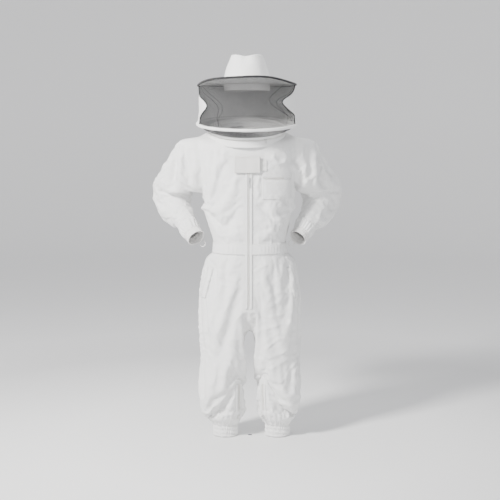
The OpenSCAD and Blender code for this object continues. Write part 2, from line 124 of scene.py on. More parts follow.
def from_bmesh(name, bm, shade=True):
    mesh = bpy.data.meshes.new(name)
    bm.to_mesh(mesh)
    bm.free()
    if shade:
        mesh.shade_smooth()
    return new_object(name, mesh)


def apply_all(obj):
    """Turns the object's modifiers into plain mesh."""
    graph = bpy.context.evaluated_depsgraph_get()
    mesh = bpy.data.meshes.new_from_object(obj.evaluated_get(graph))
    old = obj.data
    obj.modifiers.clear()
    obj.data = mesh
    bpy.data.meshes.remove(old)
    return obj


def modified(obj, kind, **settings):
    modifier = obj.modifiers.new(kind.lower(), kind)
    for key, value in settings.items():
        setattr(modifier, key, value)
    return apply_all(obj)


def joined(name, objects):
    bm = bmesh.new()
    for o in objects:
        bm.from_mesh(o.data)
        bpy.data.objects.remove(o)
    return from_bmesh(name, bm)


# ---------- materials ----------

class Shader:
    """A material whose node tree is built in a few short calls."""

    def __init__(self, name):
        self.material = bpy.data.materials.new(name)
        self.material.use_nodes = True
        self.tree = self.material.node_tree
        self.tree.nodes.clear()
        self.output = self.node("ShaderNodeOutputMaterial")
        self.surface = self.node("ShaderNodeBsdfPrincipled")
        self.link(self.surface.outputs["BSDF"], self.output.inputs["Surface"])
        self.place = self.node("ShaderNodeTexCoord").outputs["Object"]

    def node(self, kind, **settings):
        made = self.tree.nodes.new(kind)
        for key, value in settings.items():
            setattr(made, key, value)
        return made

    def link(self, source, target):
        self.tree.links.new(source, target)

    def feed(self, target, value):
        if hasattr(value, "is_output"):
            self.link(value, target)
        else:
            target.default_value = value

    def turned(self, angles, scale=(1, 1, 1)):
        mapping = self.node("ShaderNodeMapping")
        mapping.inputs["Rotation"].default_value = angles
        mapping.inputs["Scale"].default_value = scale
        self.link(self.place, mapping.inputs["Vector"])
        return mapping.outputs["Vector"]

    def noise(self, scale, detail=3, vector=None):
        made = self.node("ShaderNodeTexNoise")
        made.inputs["Scale"].default_value = scale
        made.inputs["Detail"].default_value = detail
        self.link(vector or self.place, made.inputs["Vector"])
        return made.outputs["Fac"]

    def wave(self, scale, vector=None, distortion=0.0):
        made = self.node("ShaderNodeTexWave", wave_type="BANDS", bands_direction="DIAGONAL")
        made.inputs["Scale"].default_value = scale
        made.inputs["Distortion"].default_value = distortion
        self.link(vector or self.place, made.inputs["Vector"])
        return made.outputs["Fac"]

    def math(self, operation, a, b=0.0):
        made = self.node("ShaderNodeMath", operation=operation)
        self.feed(made.inputs[0], a)
        self.feed(made.inputs[1], b)
        return made.outputs["Value"]

    def ramp(self, factor, dark, light, low=0.0, high=1.0):
        made = self.node("ShaderNodeValToRGB")
        made.color_ramp.elements[0].position = low
        made.color_ramp.elements[1].position = high
        made.color_ramp.elements[0].color = (*dark, 1)
        made.color_ramp.elements[1].color = (*light, 1)
        self.link(factor, made.inputs["Fac"])
        return made.outputs["Color"]

    def bump(self, height, strength, distance, below=None):
        made = self.node("ShaderNodeBump")
        made.inputs["Strength"].default_value = strength
        made.inputs["Distance"].default_value = distance
        self.link(height, made.inputs["Height"])
        if below is not None:
            self.link(below, made.inputs["Normal"])
        return made.outputs["Normal"]

    def finish(self, colour, normal=None, **values):
        self.feed(self.surface.inputs["Base Color"], colour)
        if normal is not None:
            self.link(normal, self.surface.inputs["Normal"])
        for key, value in values.items():
            self.feed(self.surface.inputs[key.replace("_", " ")], value)
        return self.material


def tinted(colour, amount):
    return tuple(max(0.0, c * amount) for c in colour)


def twill(name, colour, shade=0.94, crinkle=1.0):
    """Cotton twill: fine diagonal ribs, faint slubs and uneven bleaching."""
    s = Shader(name)
    ribs = s.wave(520, distortion=0.6)
    slub = s.noise(900, 2, s.turned((0, 0, 0), (1, 1, 0.12)))
    weave = s.math("ADD", s.math("MULTIPLY", ribs, 0.6), s.math("MULTIPLY", slub, 0.4))
    creases = s.noise(38, 4)
    fine = s.bump(weave, 0.35, 0.0006)
    normal = s.bump(creases, 0.4 * crinkle, 0.006, fine)
    patch = s.math("ADD", s.math("MULTIPLY", s.noise(5, 3), 0.75), s.math("MULTIPLY", weave, 0.25))
    tone = s.ramp(patch, tinted(colour, shade), colour, 0.3, 0.7)
    return s.finish(tone, normal, Roughness=0.88, Sheen_Weight=0.22, Sheen_Roughness=0.5, IOR=1.4)


def ribbed(name, colour, direction, pitch=0.0032):
    """Elastic or tape with ribs across the given direction."""
    s = Shader(name)
    vector = s.turned(direction)
    ribs = s.node("ShaderNodeTexWave", wave_type="BANDS", bands_direction="Z")
    ribs.inputs["Scale"].default_value = 0.314 / pitch
    s.link(vector, ribs.inputs["Vector"])
    threads = s.noise(1400, 2)
    height = s.math("ADD", s.math("MULTIPLY", ribs.outputs["Fac"], 0.8), s.math("MULTIPLY", threads, 0.2))
    normal = s.bump(height, 0.5, 0.001)
    tone = s.ramp(height, tinted(colour, 0.86), colour)
    return s.finish(tone, normal, Roughness=0.85, Sheen_Weight=0.15, IOR=1.4)


def netting(name, pitch=0.0022, cover=0.52):
    """Black veil netting: a see-through grid of fine threads, a little denser in places."""
    s = Shader(name)
    threads = []
    for direction in ("X", "Z"):
        band = s.node("ShaderNodeTexWave", wave_type="BANDS", bands_direction=direction)
        band.inputs["Scale"].default_value = 0.314 / pitch
        band.inputs["Distortion"].default_value = 0.0
        s.link(s.turned((0, 0.785, 0)), band.inputs["Vector"])
        threads.append(band.outputs["Fac"])
    grid = s.math("MAXIMUM", threads[0], threads[1])
    edge = s.math("SUBTRACT", grid, s.math("MULTIPLY", s.noise(9, 2), 0.12))
    thread = s.node("ShaderNodeMath", operation="GREATER_THAN")
    s.link(edge, thread.inputs[0])
    thread.inputs[1].default_value = 1 - cover
    solid = s.math("MULTIPLY", thread.outputs["Value"], 0.97)
    tone = s.ramp(s.noise(60, 2), (0.012, 0.012, 0.014), (0.03, 0.03, 0.033))
    s.finish(tone, None, Roughness=0.7, Sheen_Weight=0.1)
    s.feed(s.surface.inputs["Alpha"], solid)
    return s.material


def metal(name, colour, roughness=0.32):
    s = Shader(name)
    scratch = s.noise(700, 3, s.turned((0, 0, 0), (1, 1, 0.1)))
    tone = s.ramp(s.noise(90, 3), tinted(colour, 0.82), colour)
    rough = s.math("ADD", s.math("MULTIPLY", scratch, 0.25), roughness - 0.12)
    return s.finish(tone, s.bump(scratch, 0.15, 0.0004), Metallic=1.0, Roughness=rough)


def moulded(name, colour, roughness=0.42):
    s = Shader(name)
    grain = s.noise(1200, 2)
    tone = s.ramp(s.noise(120, 2), tinted(colour, 0.88), colour)
    return s.finish(tone, s.bump(grain, 0.15, 0.0003), Roughness=roughness)


def fuzzy(name, colour):
    """Loop tape: a mat of tiny curled threads."""
    s = Shader(name)
    loops = s.node("ShaderNodeTexVoronoi")
    loops.inputs["Scale"].default_value = 900
    s.link(s.place, loops.inputs["Vector"])
    height = s.math("ADD", loops.outputs["Distance"], s.math("MULTIPLY", s.noise(2500, 2), 0.5))
    tone = s.ramp(height, tinted(colour, 0.8), colour)
    return s.finish(tone, s.bump(height, 0.6, 0.001), Roughness=0.95, Sheen_Weight=0.5)


WHITE = (0.80, 0.80, 0.795)
COTTON = twill("cotton_twill", WHITE)
COTTON_HAT = twill("hat_cotton", (0.83, 0.83, 0.825), crinkle=0.5)
BINDING = twill("seam_binding", (0.82, 0.81, 0.80), crinkle=0.3)
ELASTIC = ribbed("white_elastic", (0.80, 0.79, 0.78), (0, 0, 0))
LOOP_ELASTIC = ribbed("thumb_elastic", (0.84, 0.83, 0.81), (0, 0, 0), 0.0016)
BLACK_TAPE = ribbed("black_binding", (0.022, 0.022, 0.024), (0, 0, 0), 0.002)
ZIP_TAPE = ribbed("zip_tape", (0.78, 0.765, 0.735), (0, 0, 0), 0.0014)
NET = netting("veil_netting", cover=0.2)
NET_SKIRT = netting("skirt_netting", cover=0.66)
ZIP_TEETH = moulded("zip_teeth", (0.80, 0.79, 0.76))
ZIP_METAL = metal("plated_zip", (0.72, 0.72, 0.71))
HOOK_TAPE = fuzzy("hook_and_loop", (0.80, 0.80, 0.78))
THREAD = moulded("stitch_thread", (0.74, 0.735, 0.72), 0.7)


def painted(obj, material):
    obj.data.materials.clear()
    obj.data.materials.append(material)


def dressed(obj, material, slot, body=None, *replaced):
    """Gives a piece its material, the body it rides on and the CAD nodes it stands in for."""
    painted(obj, material)
    if body:
        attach(obj, body)
    if replaced:
        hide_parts(*replaced)
    return obj


def sewn(name, rows, body="suit", length=0.0026, gap=0.0016):
    """Stitch rows in thread, riding on a body."""
    dressed(stitches(name, rows, length, gap), THREAD, "white_twill", body)


# ---------- suit cloth: one skin over the frame's soft nodes, draped by simulation ----------

VOXEL = 0.0115
DRAPE_FRAMES = 34
TRUNK_NODES = ("bodice", "collar", "waistband", "seat")
LEG_NODES = ("hip", "thigh", "knee", "shin")


def hull(points):
    bm = bmesh.new()
    for p in points:
        bm.verts.new(p)
    made = bmesh.ops.convex_hull(bm, input=bm.verts)
    spare = [g for g in made["geom_interior"] + made["geom_unused"] if isinstance(g, bmesh.types.BMVert)]
    bmesh.ops.delete(bm, geom=list(set(spare)), context="VERTS")
    bmesh.ops.recalc_face_normals(bm, faces=bm.faces)
    return from_bmesh("hull", bm)


def node_hull(node):
    return hull([v.co for v in nodes[node].data.vertices])


def ball(centre, radii, segments=16):
    points = []
    for i in range(segments):
        for k in range(1, segments // 2):
            a = math.tau * i / segments
            b = math.tau * k / segments
            out = Vector((math.cos(a) * math.sin(b), math.sin(a) * math.sin(b), math.cos(b)))
            points.append(Vector(centre) + Vector((out.x * radii[0], out.y * radii[1], out.z * radii[2])))
    return points


def bezier(points, t):
    a, b, c, d = points
    s = 1 - t
    return a * s ** 3 + b * 3 * s * s * t + c * 3 * s * t * t + d * t ** 3


@functools.cache
def wrist(name):
    mount = next(m for m in frame["record"]["mounts"] if m["name"] == name + "_wrist")
    return Vector(mount["pos_m"]), Vector(mount["axis"])


@functools.cache
def ankle(name):
    mount = next(m for m in frame["record"]["mounts"] if m["name"] == name + "_ankle")
    return Vector(mount["pos_m"])


WRIST_HALF = 0.017
ARM_RADII = (0.1, 0.097, 0.09, 0.084, 0.082, 0.08, 0.072, 0.058, 0.047, 0.038)


def arm_curves(name, side):
    """The sleeve's centre line: out from the shoulder and down to the elbow, then in to the cuff."""
    shoulder = joint_at(name + "_shoulder_raise")
    elbow = joint_at(name + "_elbow_open")
    middle_of_cuff, out = wrist(name)
    cuff = middle_of_cuff - out * WRIST_HALF
    upper = (shoulder, shoulder + Vector((side * 0.075, 0.02, 0.006)), elbow + UP * 0.07, elbow)
    lower = (elbow, elbow - UP * 0.055, cuff - out * 0.085, cuff)
    return upper, lower


def arm_stations(name, side):
    upper, lower = arm_curves(name, side)
    half = len(ARM_RADII) // 2
    centres = [bezier(upper, i / half) for i in range(half)]
    centres += [bezier(lower, i / (len(ARM_RADII) - half - 1)) for i in range(len(ARM_RADII) - half)]
    return list(zip(centres, ARM_RADII))


def ring_of(centre, along, r, depth):
    sideways = UP if abs(along.z) < 0.95 else Vector((1, 0, 0))
    aside = along.cross(sideways).normalized()
    other = aside.cross(along)
    turns = [math.tau * i / 20 for i in range(20)]
    return [centre + (aside * math.cos(a) * depth + other * math.sin(a)) * r for a in turns]


def arm_parts(name, side):
    stations = arm_stations(name, side)
    start = stations[0][0] - Vector((side * 0.05, 0, 0))
    stations = [(start, stations[0][1] * 0.92)] + stations
    rings = []
    for i, (centre, r) in enumerate(stations):
        before = stations[max(i - 1, 0)][0]
        after = stations[min(i + 1, len(stations) - 1)][0]
        rings.append(ring_of(centre, (after - before).normalized(), r, 0.84 if i < 2 else 1.0))
    return [hull(a + b) for a, b in zip(rings, rings[1:])]


def wearer():
    """The stand-in that the cloth drapes over. It isn't part of the object and is deleted."""
    def bone(a, ra, b, rb):
        return hull(ball(a, (ra, ra, ra)) + ball(b, (rb, rb, rb)))

    lean = RING_CENTRE.x
    waist = (0, -0.01, 0.84), (0.138, 0.102, 0.08)
    parts = [
        hull(ball((lean, -0.004, CHEST_Z), (0.186, 0.12, 0.13)) + ball(*waist)),
        hull(ball(*waist) + ball((0, -0.002, 0.67), (0.2, 0.124, 0.11))),
    ]
    for name, side in SIDES:
        upper, lower = arm_curves(name, side)
        shoulder = upper[0] + Vector((-side * 0.035, 0.006, 0.012))
        elbow = upper[3] + Vector((side * 0.004, 0, 0.004))
        parts.append(hull(ball((lean, 0, 1.2), (0.09, 0.07, 0.07)) + ball(shoulder, (0.062, 0.062, 0.062))))
        parts.append(bone(shoulder, 0.066, elbow, 0.056))
        parts.append(bone(elbow, 0.052, lower[3], 0.031))
        knee = Vector((side * 0.12, -0.02, 0.315))
        parts.append(bone(Vector((side * 0.108, -0.004, 0.64)), 0.098, knee, 0.072))
        parts.append(bone(knee, 0.072, ankle(name) + UP * 0.06, 0.046))
    return joined("wearer", parts)


def skin():
    """The suit's outside as one even quad mesh, open at the neck, wrists and ankles."""
    parts = [node_hull(n) for n in TRUNK_NODES]
    parts.append(hull(ball((0, -0.085, CROTCH + 0.03), (0.045, 0.05, 0.035))
                      + ball((0, -0.02, CROTCH - 0.02), (0.03, 0.08, 0.025))))
    for name, side in SIDES:
        parts += [node_hull(f"{name}_{n}") for n in LEG_NODES]
        parts += arm_parts(name, side)
    obj = joined("suit_skin", parts)
    modified(obj, "REMESH", mode="VOXEL", voxel_size=VOXEL, use_smooth_shade=True)
    modified(obj, "SMOOTH", iterations=7, factor=0.5)
    bm = bmesh.new()
    bm.from_mesh(obj.data)
    neck = [f for f in bm.faces if is_neck_cap(f)]
    ends = [f for f in bm.faces if is_limb_cap(f)]
    bmesh.ops.delete(bm, geom=neck + ends, context="FACES")
    loose = [v for v in bm.verts if not v.link_faces]
    bmesh.ops.delete(bm, geom=loose, context="VERTS")
    bm.to_mesh(obj.data)
    bm.free()
    return obj


def is_neck_cap(face):
    at = ring_local(face.calc_center_median())
    return at.z > -0.03 and math.hypot(at.x, at.y) < RING_R - 0.012 and face.normal.dot(RING_UP) > 0.5


def is_limb_cap(face):
    """Whether a face closes a cuff or an ankle. The trunk beside a cuff looks the other way and stays."""
    at = face.calc_center_median()
    for name, _ in SIDES:
        centre, out = wrist(name)
        cuff = centre - out * WRIST_HALF
        past = (at - cuff).dot(out) > -0.006 and (at - cuff).length < 0.08
        if past and face.normal.dot(out) > -0.3:
            return True
        if at.z < box(name + "_shin")[0].z + 0.006:
            return True
    return False


def segment_distance(p, a, b):
    t = min(1.0, max(0.0, (p - a).dot(b - a) / (b - a).length_squared))
    return (p - a - (b - a) * t).length


@functools.cache
def leg_zip_line(name):
    """Low and high ends of a leg zip, from the slider's track."""
    up = Vector(joints[name + "_leg_zip_slide"]["axis"])
    low = box(name + "_leg_zip")[0]
    centre = middle(name + "_leg_zip")
    half = (box(name + "_leg_zip")[1].z - low.z) / 2
    return centre - up * half / up.z, centre + up * half / up.z


def hold(p):
    """How firmly the cloth is held in place at p, 0 to 1: at seams, elastics and zips."""
    at = ring_local(p)
    held = smooth(-0.062, -0.03, at.z)
    waist = (WAIST_LOW + WAIST_HIGH) / 2
    if abs(p.x) < 0.19:
        held = max(held, 1 - smooth(0.016, 0.04, abs(p.z - waist)))
    if p.y < -0.1 and p.z > ZIP_LOW - 0.03:
        held = max(held, 1 - smooth(0.02, 0.042, abs(p.x - ZIP_X)))
    if p.y < -0.05 and p.z > box("neck_flap")[0].z - 0.01:
        held = max(held, 1 - smooth(0.062, 0.1, abs(p.x - ZIP_X)))
    low, high = box("chest_pocket")
    if p.y < -0.05 and low.z - 0.01 < p.z and low.x - 0.01 < p.x < high.x + 0.02:
        above_foot = 0.92 * smooth(low.z - 0.01, low.z + 0.03, p.z)
        held = max(held, above_foot * (1 - smooth(high.z, high.z + 0.05, p.z)))
    for name, _ in SIDES:
        centre, out = wrist(name)
        if (p - centre).length < 0.12:
            held = max(held, smooth(-0.062, -0.03, (p - centre).dot(out)))
        bottom = box(name + "_shin")[0].z
        held = max(held, 1 - smooth(bottom + 0.012, bottom + 0.04, p.z))
        held = max(held, 1 - smooth(0.018, 0.036, segment_distance(p, *leg_zip_line(name))))
        shoulder = joint_at(name + "_shoulder_raise") + Vector((0, 0, 0.085))
        held = max(held, 0.6 * (1 - smooth(0.03, 0.09, (p - shoulder).length)))
    return held


CLOTH = {
    "quality": 6, "mass": 0.35, "air_damping": 3,
    "tension_stiffness": 25, "compression_stiffness": 25, "shear_stiffness": 12, "bending_stiffness": 0.7,
    "tension_damping": 10, "compression_damping": 10, "bending_damping": 1.5,
    "vertex_group_mass": "held", "pin_stiffness": 3, "shrink_min": -0.066, "shrink_max": -0.066,
    "use_pressure": True, "uniform_pressure_force": 0.35,
}


def drape(obj):
    """Lets the cloth fall over the stand-in. A shrink below zero makes the cloth a little bigger."""
    group = obj.vertex_groups.new(name="held")
    for v in obj.data.vertices:
        group.add([v.index], hold(v.co), "REPLACE")
    body = wearer()
    body.modifiers.new("collide", "COLLISION")
    body.collision.thickness_outer = 0.004
    body.collision.cloth_friction = 12
    cloth = obj.modifiers.new("drape", "CLOTH")
    for key, value in CLOTH.items():
        setattr(cloth.settings, key, value)
    cloth.collision_settings.use_collision = True
    cloth.collision_settings.distance_min = 0.004
    cloth.collision_settings.use_self_collision = False
    cloth.point_cache.frame_start = 1
    cloth.point_cache.frame_end = DRAPE_FRAMES
    scene = bpy.context.scene
    for number in range(1, DRAPE_FRAMES + 1):
        scene.frame_set(number)
    apply_all(obj)
    scene.frame_set(1)
    bpy.data.objects.remove(body)
    return obj


def crease(obj):
    """Presses small worn-in creases into the cloth wherever it isn't held by a seam."""
    moves = []
    for v in obj.data.vertices:
        p = v.co
        warp = noise.noise(p * 5) * 2.2
        slant = -0.5 if p.x > 0 else 0.5
        across = Vector((p.x * 15 + p.z * 15 * slant + warp, p.y * 15, p.z * 12 + warp))
        ridge = 1 - abs(noise.noise(across))
        small = 1 - abs(noise.noise(across * 2.3 + Vector((7, 3, 1))))
        depth = 0.0046 * (ridge ** 5 - 0.35) + 0.0016 * (small ** 4 - 0.35)
        moves.append(v.normal * depth * (1 - hold(p)))
    for v, move in zip(obj.data.vertices, moves):
        v.co += move


# ---------- sheets, strips and stitches ----------

def sheet(name, place, across, along, closed=False, thickness=0.0):
    """A grid of points place(u, v), u and v from 0 to 1, closed round u if asked, then thickened."""
    bm = bmesh.new()
    columns = across if closed else across + 1
    grid = [[bm.verts.new(place(i / across, k / along)) for i in range(columns)] for k in range(along + 1)]
    for k in range(along):
        for i in range(across):
            j = (i + 1) % columns
            bm.faces.new((grid[k][i], grid[k][j], grid[k + 1][j], grid[k + 1][i]))
    obj = from_bmesh(name, bm)
    if thickness:
        modified(obj, "SOLIDIFY", thickness=thickness, offset=0)
    return obj


THREAD_R = 0.00042


def stitches(name, paths, length, gap):
    """Rows of short thread along paths of (point, normal) pairs."""
    bm = bmesh.new()
    for path in paths:
        done, due = 0.0, 0.0
        for (a, n), (b, _) in zip(path, path[1:]):
            span = (b - a).length
            while span > 0 and due <= done + span:
                start = a.lerp(b, (due - done) / span)
                add_stitch(bm, start, (b - a).normalized(), n, length)
                due += length + gap
            done += span
    return from_bmesh(name, bm)


def add_stitch(bm, start, along, normal, length):
    side = along.cross(normal).normalized()
    rings = []
    for reach, scale, lift in ((0, 0.4, 0), (0.2, 1, 0.5), (0.8, 1, 0.5), (1, 0.4, 0)):
        centre = start + along * length * reach + normal * THREAD_R * lift
        rings.append([bm.verts.new(centre + (side * x + normal * y) * THREAD_R * scale)
                      for x, y in ((1, 0), (0, 1), (-1, 0), (0, -1))])
    for one, two in zip(rings, rings[1:]):
        for i in range(4):
            bm.faces.new((one[i], one[(i + 1) % 4], two[(i + 1) % 4], two[i]))
    bm.faces.new(rings[0][::-1])
    bm.faces.new(rings[-1])


def teeth(name, count, place, size):
    """Zip teeth: place(t) gives the point, the run, the outward and the across direction."""
    bm = bmesh.new()
    wide, tall, long = size
    for i in range(count):
        for side in (-1, 1):
            at, run, out, across = place((i + 0.5 + side * 0.25) / count)
            corners = []
            for z in (-0.5, 0.5):
                for x, y, pinch in ((0, 0, 1), (1, 0, 0.75), (1, 1, 0.6), (0, 1, 0.8)):
                    corners.append(bm.verts.new(
                        at + across * side * x * wide + out * y * tall + run * z * long * pinch))
            low, high = corners[:4], corners[4:]
            bm.faces.new(low[::-1])
            bm.faces.new(high)
            for k in range(4):
                j = (k + 1) % 4
                bm.faces.new((low[k], low[j], high[j], high[k]))
    bmesh.ops.recalc_face_normals(bm, faces=bm.faces)
    return from_bmesh(name, bm, shade=False)


# ---------- the suit, cut where each limb joint has let go of it ----------

def cut(obj, name, chosen):
    """Takes the faces that chosen(face) picks into a new object."""
    bm = bmesh.new()
    bm.from_mesh(obj.data)
    other = bm.copy()
    wanted = {f.index for f in bm.faces if chosen(f)}
    bmesh.ops.delete(bm, geom=[f for f in bm.faces if f.index not in wanted], context="FACES")
    bmesh.ops.delete(other, geom=[f for f in other.faces if f.index in wanted], context="FACES")
    other.to_mesh(obj.data)
    other.free()
    return from_bmesh(name, bm)


def flood(seed, passes):
    """Indices of the faces reached from seed without leaving passes(face)."""
    reached, waiting = {seed.index}, [seed]
    while waiting:
        for edge in waiting.pop().edges:
            for face in edge.link_faces:
                if face.index not in reached and passes(face):
                    reached.add(face.index)
                    waiting.append(face)
    return reached


def outside(at):
    """Whether a point is beyond the trunk's own side, which the cuff nearly touches."""
    waist = (box("waistband")[1].x - box("waistband")[0].x) / 2
    chest = (box("bodice")[1].x - box("bodice")[0].x) / 2
    width = waist + (chest - waist) * smooth(WAIST_HIGH, CHEST_Z, at.z)
    return math.hypot((at.x - trunk_lean(at.z)) / width, at.y / 0.16) > 1.0


def sleeve_faces(obj, name, side):
    """Indices of one sleeve's faces: all that the trunk reaches only through the armhole."""
    elbow = joint_at(name + "_elbow_open")
    hole = abs(joint_at(name + "_shoulder_raise").x - RING_CENTRE.x) + 0.002
    stations = arm_stations(name, side)

    def beyond(face):
        at = face.calc_center_median()
        if side * (at.x - RING_CENTRE.x) > hole and at.z > elbow.z:
            return True
        centre, r = min(stations, key=lambda station: (at - station[0]).length)
        return at.z < elbow.z and (at - centre).length < r * 1.15 + 0.02 and outside(at)

    bm = bmesh.new()
    bm.from_mesh(obj.data)
    bm.faces.ensure_lookup_table()
    tip = max(bm.faces, key=lambda f: side * f.calc_center_median().x)
    reached = flood(tip, beyond)
    foot = min(bm.faces, key=lambda f: f.calc_center_median().z)
    trunk = flood(foot, lambda f: f.index not in reached)
    wanted = {f.index for f in bm.faces if f.index not in trunk}
    bm.free()
    return wanted


THIGH_SHARE = 0.45
UPPER_SLEEVE = 0.045
CONTACT_MARGIN = 0.004


def build_suit():
    """Drapes the skin and cuts it into trunk, sleeves and legs."""
    obj = skin()
    drape(obj)
    modified(obj, "SUBSURF", levels=1, render_levels=1)
    crease(obj)
    whole = BVHTree.FromObject(obj, bpy.context.evaluated_depsgraph_get())
    for name, side in SIDES:
        cut_sleeve(obj, name, side)
    for name, side in SIDES:
        cut_leg(obj, name, side)
    obj.name = "suit_trunk"
    dressed(obj, COTTON, "white_twill", "suit", *TRUNK_NODES)
    return whole


def spot(vertex):
    """A vertex's place as a key that is the same in pieces cut from one mesh."""
    return tuple(round(c, 6) for c in vertex)


def shared(one, other):
    """Points where two pieces cut from one mesh meet."""
    places = {spot(v.co) for v in one.data.vertices}
    return [v.co.copy() for v in other.data.vertices if spot(v.co) in places]


def close_contact(obj, points):
    """Fills the hole left in a piece where it had grown together with another at these points."""
    touching = {spot(p) for p in points}
    bm = bmesh.new()
    bm.from_mesh(obj.data)
    edges = [e for e in bm.edges if e.is_boundary and all(spot(v.co) in touching for v in e.verts)]
    filled = bmesh.ops.holes_fill(bm, edges=edges, sides=0)["faces"]
    bmesh.ops.triangulate(bm, faces=filled)
    bm.to_mesh(obj.data)
    bm.free()


def cut_sleeve(obj, name, side):
    """Cuts a sleeve from the trunk, then in two below the armhole, so each part crosses one joint."""
    wanted = sleeve_faces(obj, name, side)
    sleeve = cut(obj, name + "_sleeve_low", lambda f: f.index in wanted)
    elbow_height = joint_at(name + "_elbow_open").z + CONTACT_MARGIN
    meeting = shared(obj, sleeve)
    for piece in (obj, sleeve):
        close_contact(piece, [p for p in meeting if p.z < elbow_height])
    armhole = [p for p in meeting if p.z >= elbow_height]
    upper, lower = arm_curves(name, side)
    above, below = bezier(upper, 0.7), bezier(lower, 0.45)
    along = (above - bezier(upper, 0.62)).normalized()
    mid_arm = max(p.dot(along) for p in armhole) + UPPER_SLEEVE
    high = cut(sleeve, name + "_sleeve_high", lambda f: f.calc_center_median().dot(along) < mid_arm)
    mid_cut = shared(high, sleeve)
    for piece in (sleeve, high):
        dressed(piece, COTTON, "white_twill")
    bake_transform(high)
    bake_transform(sleeve)
    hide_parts(name + "_shoulder", name + "_upper_sleeve")
    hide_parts(name + "_elbow", name + "_lower_sleeve")


def cut_leg(obj, name, side):
    top = CROTCH - 0.012
    low, high = box(name + "_thigh")
    at = low.z + (high.z - low.z) * THIGH_SHARE
    crotch_x = 0.002

    def on_leg(face):
        centre = face.calc_center_median()
        return centre.z < top and side * (centre.x - crotch_x) > 0

    leg = cut(obj, name + "_leg_low", on_leg)
    hip = cut(leg, name + "_leg_high", lambda f: f.calc_center_median().z > at)
    for piece in (leg, hip):
        dressed(piece, COTTON, "white_twill")
    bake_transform(hip)
    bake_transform(leg)
    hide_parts(name + "_hip", name + "_thigh")
    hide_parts(name + "_knee", name + "_shin")


SUIT = build_suit()


def on_trunk(angle, z, lift=0.0006):
    """The point and normal where a ray from outside meets the suit, heading for the trunk's middle."""
    centre = Vector((trunk_lean(z), -0.01, z))
    out = Vector((math.cos(angle), math.sin(angle), 0))
    hit, normal, _, _ = SUIT.ray_cast(centre + out * 0.6, -out)
    return hit + normal * lift, normal


def on_front(x, z, lift=0.0006):
    hit, normal, _, _ = SUIT.ray_cast(Vector((x, -0.6, z)), Vector((0, 1, 0)))
    return hit + normal * lift, normal


# ---------- front zip, waistband and patches ----------

def face_y(x, z):
    """Front surface of the suit at x, z, never behind the zip's own flat face."""
    return min(on_front(x, z)[0].y, ZIP_FACE)


def front_strip(name, x, half, low, high, lift, thickness):
    def at(u, v):
        place_x = x + (u - 0.5) * 2 * half
        z = low + (high - low) * v
        return Vector((place_x, face_y(place_x, z) - lift, z))

    return sheet(name, at, 4, 110, thickness=thickness)


def front_line(x, low, high, lift):
    heights = [low + (high - low) * i / 90 for i in range(91)]
    return [(Vector((x, face_y(x, z) - lift, z)), Vector((0, -1, 0))) for z in heights]


def chain_place(t):
    z = ZIP_LOW + (ZIP_HIGH - ZIP_LOW) * t
    return Vector((ZIP_X, ZIP_FACE - 0.0022, z)), UP, Vector((0, -1, 0)), Vector((1, 0, 0))


def build_front_zip():
    parts = [front_strip("placket_" + str(side), ZIP_X + side * 0.0093, 0.0058, ZIP_LOW - 0.012,
                         ZIP_HIGH + 0.01, 0.0012, 0.0016) for side in (-1, 1)]
    dressed(joined("front_placket", parts), COTTON_HAT, "white_twill", "suit")
    tapes = front_strip("front_tapes", ZIP_X, 0.0046, ZIP_LOW, ZIP_HIGH, 0.0006, 0.0008)
    dressed(tapes, ZIP_TAPE, "zip_tape", "suit", "front_zip_tapes")
    chain = teeth("front_teeth", 190, chain_place, (0.0026, 0.0016, 0.0019))
    dressed(chain, ZIP_TEETH, "zip_chain", "suit", "front_zip_chain")
    offsets = ((-0.0135, 0.0022), (-0.0062, 0.0022), (0.0062, 0.0022), (0.0135, 0.0022),
               (-0.0185, 0.001), (0.0185, 0.001))
    sewn("placket_stitches", [front_line(ZIP_X + x, ZIP_LOW - 0.01, ZIP_HIGH, lift) for x, lift in offsets])


def build_waistband():
    """The elastic band at the waist, gathered in small pleats between two stitched seams."""
    def at(u, v):
        angle = math.tau * u
        z = WAIST_LOW + (WAIST_HIGH - WAIST_LOW) * v
        point, normal = on_trunk(angle, z)
        swell = math.sin(math.pi * min(1, max(0, v)))
        pleat = math.sin(angle * 58 + 2.5 * math.sin(angle * 7)) * 0.5 + 0.5
        front = smooth(0.03, 0.06, abs(point.x - ZIP_X)) if point.y < 0 else 1
        return point + normal * (0.0016 + swell * (0.0012 + 0.0016 * pleat) * front)

    band = sheet("waist_elastic", at, 300, 10, closed=True, thickness=0.0012)
    dressed(band, COTTON, "white_twill", "suit", "waistband")
    heights = (WAIST_LOW + 0.003, WAIST_HIGH - 0.003)
    sewn("waist_stitches", [[on_trunk(math.tau * i / 200, z, 0.003) for i in range(201)] for z in heights])


def surface_patch(name, x0, x1, z0, z1, lift, puff, thickness=0.0014):
    """A cloth patch sewn on the front of the suit, following its surface."""
    def at(u, v):
        x = x0 + (x1 - x0) * u
        z = z0 + (z1 - z0) * v
        point, normal = on_front(x, z)
        edge = min(u * (x1 - x0), (1 - u) * (x1 - x0), v * (z1 - z0), (1 - v) * (z1 - z0))
        rise = lift + puff * smooth(0.0, 0.016, edge) + 0.0006 * smooth(0.005, 0.002, edge)
        rise += 0.0009 * noise.noise(Vector((x * 38, z * 38, 4.0))) * smooth(0, 0.01, edge)
        out = (normal + Vector((0, -1, 0))).normalized()
        return point + out * rise

    return sheet(name, at, 30, 30, thickness=thickness)


